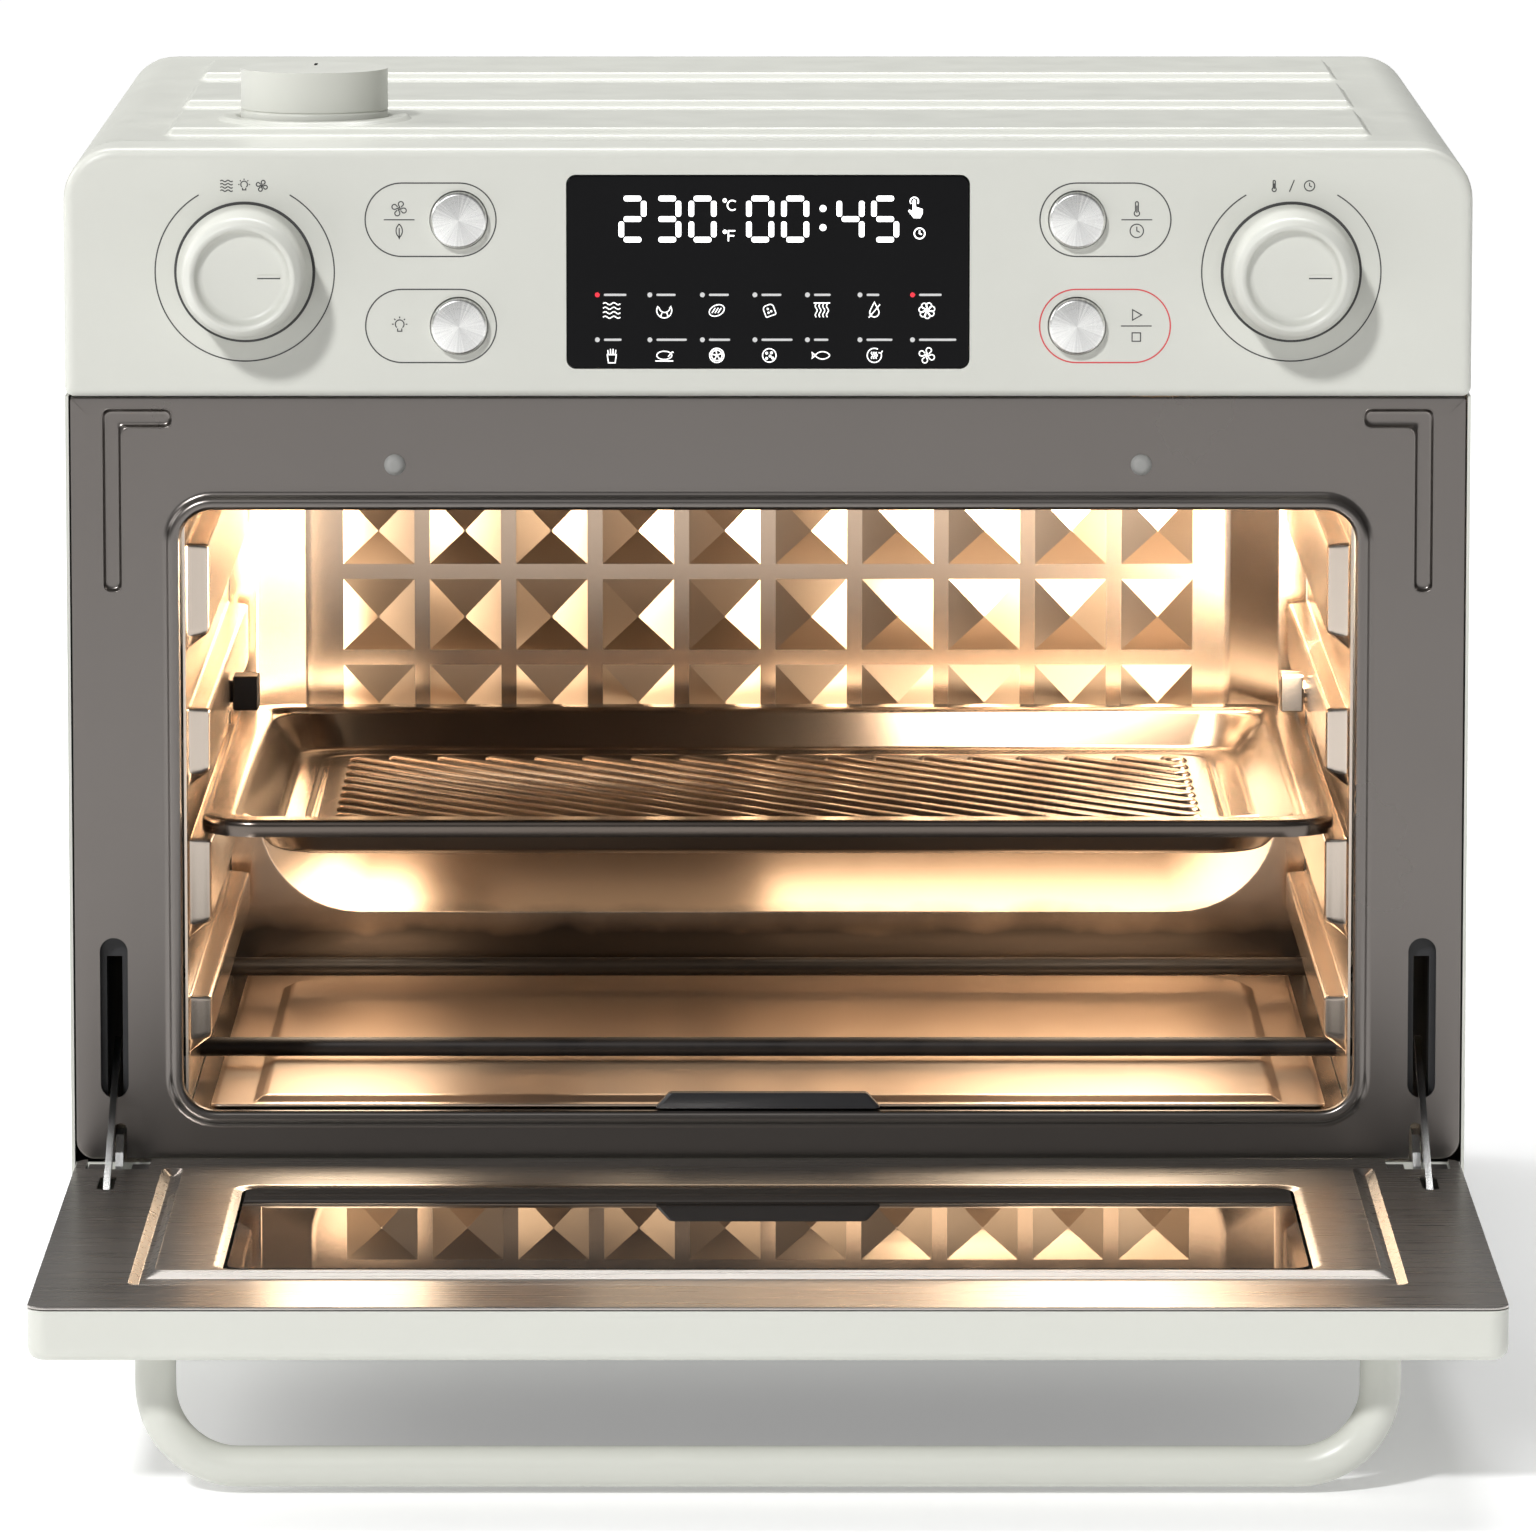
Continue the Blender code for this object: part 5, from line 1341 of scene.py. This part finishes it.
def dress_nodes():
    dress(ENAMEL, "lower_front_panel")
    dress(CAVITY_STEEL, "cavity_floor", "cavity_ceiling", "spit_rest")
    dress(HEATER, "spit_drive")
    dress(ZINC, "rear_cover", "base_plate", "fan_housing", "fan_motor", "spit_motor", "vent_duct")
    dress(ZINC, "temperature_probe", "function_encoder", "setting_encoder")
    dress(BRIGHT_STEEL, "convection_fan")
    for side, _ in SIDES:
        for part in ("door_link", "hinge_arm", "hinge_block", "link_spring"):
            dress(BRIGHT_STEEL, f"{side}_{part}")
        dress(DARK_PLASTIC, f"{side}_link_guide")
    dress(DARK_PLASTIC, "cord_gland")
    dress(FILAMENT, "cavity_lamp")
    dress(PANE, "door_inner_glass", "door_outer_glass")
    dress(CLEAR, "lamp_cover")
    dress(BOARD, "control_board", "power_board")


# ---- stage ----


def build_floor():
    """A pale floor that glows a little; the glow is turned down near the oven, which paints shade
    round it.
    """
    half = 30.0
    mesh = bpy.data.meshes.new("floor")
    corners = [(-half, -half, 0), (half, -half, 0), (half, half, 0), (-half, half, 0)]
    mesh.from_pydata(corners, [], [(0, 1, 2, 3)])
    made = Nodes("pale_floor", Roughness=0.7, Specular_IOR_Level=0.1)
    made.set("Emission Color", (1.0, 1.0, 1.0, 1))
    # painted shade: the glow falls from 0.50 far off to 0.26 near the oven
    reach = made.add("ShaderNodeVectorMath", {0: made.place()}, operation="LENGTH")
    made.set("Emission Strength", made.range(reach.outputs["Value"], 0.5, 1.8, 0.26, 0.50))
    made.tint(made.noise(2.0), (0.94, 0.94, 0.94), (0.92, 0.92, 0.92))
    mesh.materials.append(made.material)
    floor = add_object("floor", mesh, (0, 0, 0))


def add_light(name, light, place, target):
    """Adds a light that is aimed at a target."""
    lamp = add_object(name, light, place)
    aim = Vector(target) - Vector(place)
    lamp.rotation_euler = aim.to_track_quat("-Z", "Y").to_euler()
    return lamp


def area_light(name, place, target, size, power, colour=(1, 1, 1)):
    light = bpy.data.lights.new(name, "AREA")
    light.shape = "RECTANGLE"
    light.size, light.size_y = size
    light.energy = power
    light.color = colour
    return add_light(name, light, place, target)


def build_lights():
    """A dim white room, a sun from the front left, and two soft lights."""
    world = bpy.data.worlds.new("studio")
    world.use_nodes = True
    background = world.node_tree.nodes["Background"]
    background.inputs["Color"].default_value = (1, 1, 1, 1)
    background.inputs["Strength"].default_value = 0.14
    bpy.context.scene.world = world
    sun = bpy.data.lights.new("key_light", "SUN")
    sun.energy = 2.25
    sun.angle = math.radians(6)
    add_light("key_light", sun, (0, 0, 0), (0.36, 0.72, -0.60))
    area_light("side_light", (-2.0, 0.1, 1.2), (0, 0.05, 0.35), (0.7, 0.9), 16)
    area_light("top_light", (0, 0.7, 2.3), (0, 0.15, 0.35), (1.6, 0.5), 37)


def build_oven_lights():
    """The warm light in the oven: name, place and target in datum millimetres, size and power."""
    lights = (
        ("right_lamp", (176, 165, 162), (0, 200, 150), (170, 60), 2.4),
        ("ceiling_lamp", (105, 235, 211), (95, 262, 100), (130, 40), 1.0),
        ("left_lamp", (-176, 235, 165), (-140, 262, 150), (36, 70), 0.12),
        ("left_corner_lamp", (-163, 262, 150), (-170, 276, 150), (12, 110), 0.10),
        ("lower_right_lamp", (85, 218, 86.5), (85, 262, 50), (170, 44), 0.12),
        ("lower_middle_lamp", (-50, 218, 86.5), (-50, 262, 50), (90, 44), 0.005),
        ("lower_left_lamp", (-137, 218, 86.5), (-140, 262, 50), (34, 44), 0.05),
        ("left_tray_lamp", (-135, 120, 86), (-135, 110, 15), (50, 90), 0.17),
        ("middle_tray_lamp", (0, 120, 86), (0, 110, 15), (120, 90), 0.05),
        ("right_tray_lamp", (110, 120, 86), (115, 110, 15), (90, 90), 0.26),
    )
    for name, place, target, size, power in lights:
        aim = [DATUM + Vector(point) * MM for point in (place, target)]
        metres = [side * MM for side in size]
        lamp = area_light(name, *aim, metres, power, (1.0, 0.79, 0.57))
        lamp.visible_camera = False


def build_camera():
    """The viewing angle of the reference: long lens, square on, looking a little down."""
    data = bpy.data.cameras.new("camera")
    data.lens = 260.4
    data.sensor_width = 36
    pitch = 0.143
    eye = DATUM + Vector((0, -3387, 609)) * MM
    camera = add_object("camera", data, eye)
    camera.rotation_euler = (math.pi / 2 - pitch, 0, 0)
    bpy.context.scene.camera = camera
    bpy.context.scene.view_settings.view_transform = "Standard"


def build_everything():
    build_casing()
    build_vent_cap()
    build_feet()
    build_panel()
    for knob in KNOBS:
        build_knob(f"{knob}_knob", f"{knob}_dial")
    for key in KEYS:
        build_key(f"{key}_button", f"{key}_key")
    build_panel_marks()
    build_display()
    build_front_frame()
    build_side_walls()
    build_back_wall()
    build_heaters()
    build_baking_tray()
    build_crumb_tray()
    build_door_sheet()
    build_door_frame()
    build_handle()
    build_link_pins()
    dress_nodes()
    build_floor()
    build_lights()
    build_oven_lights()
    build_camera()


build_everything()
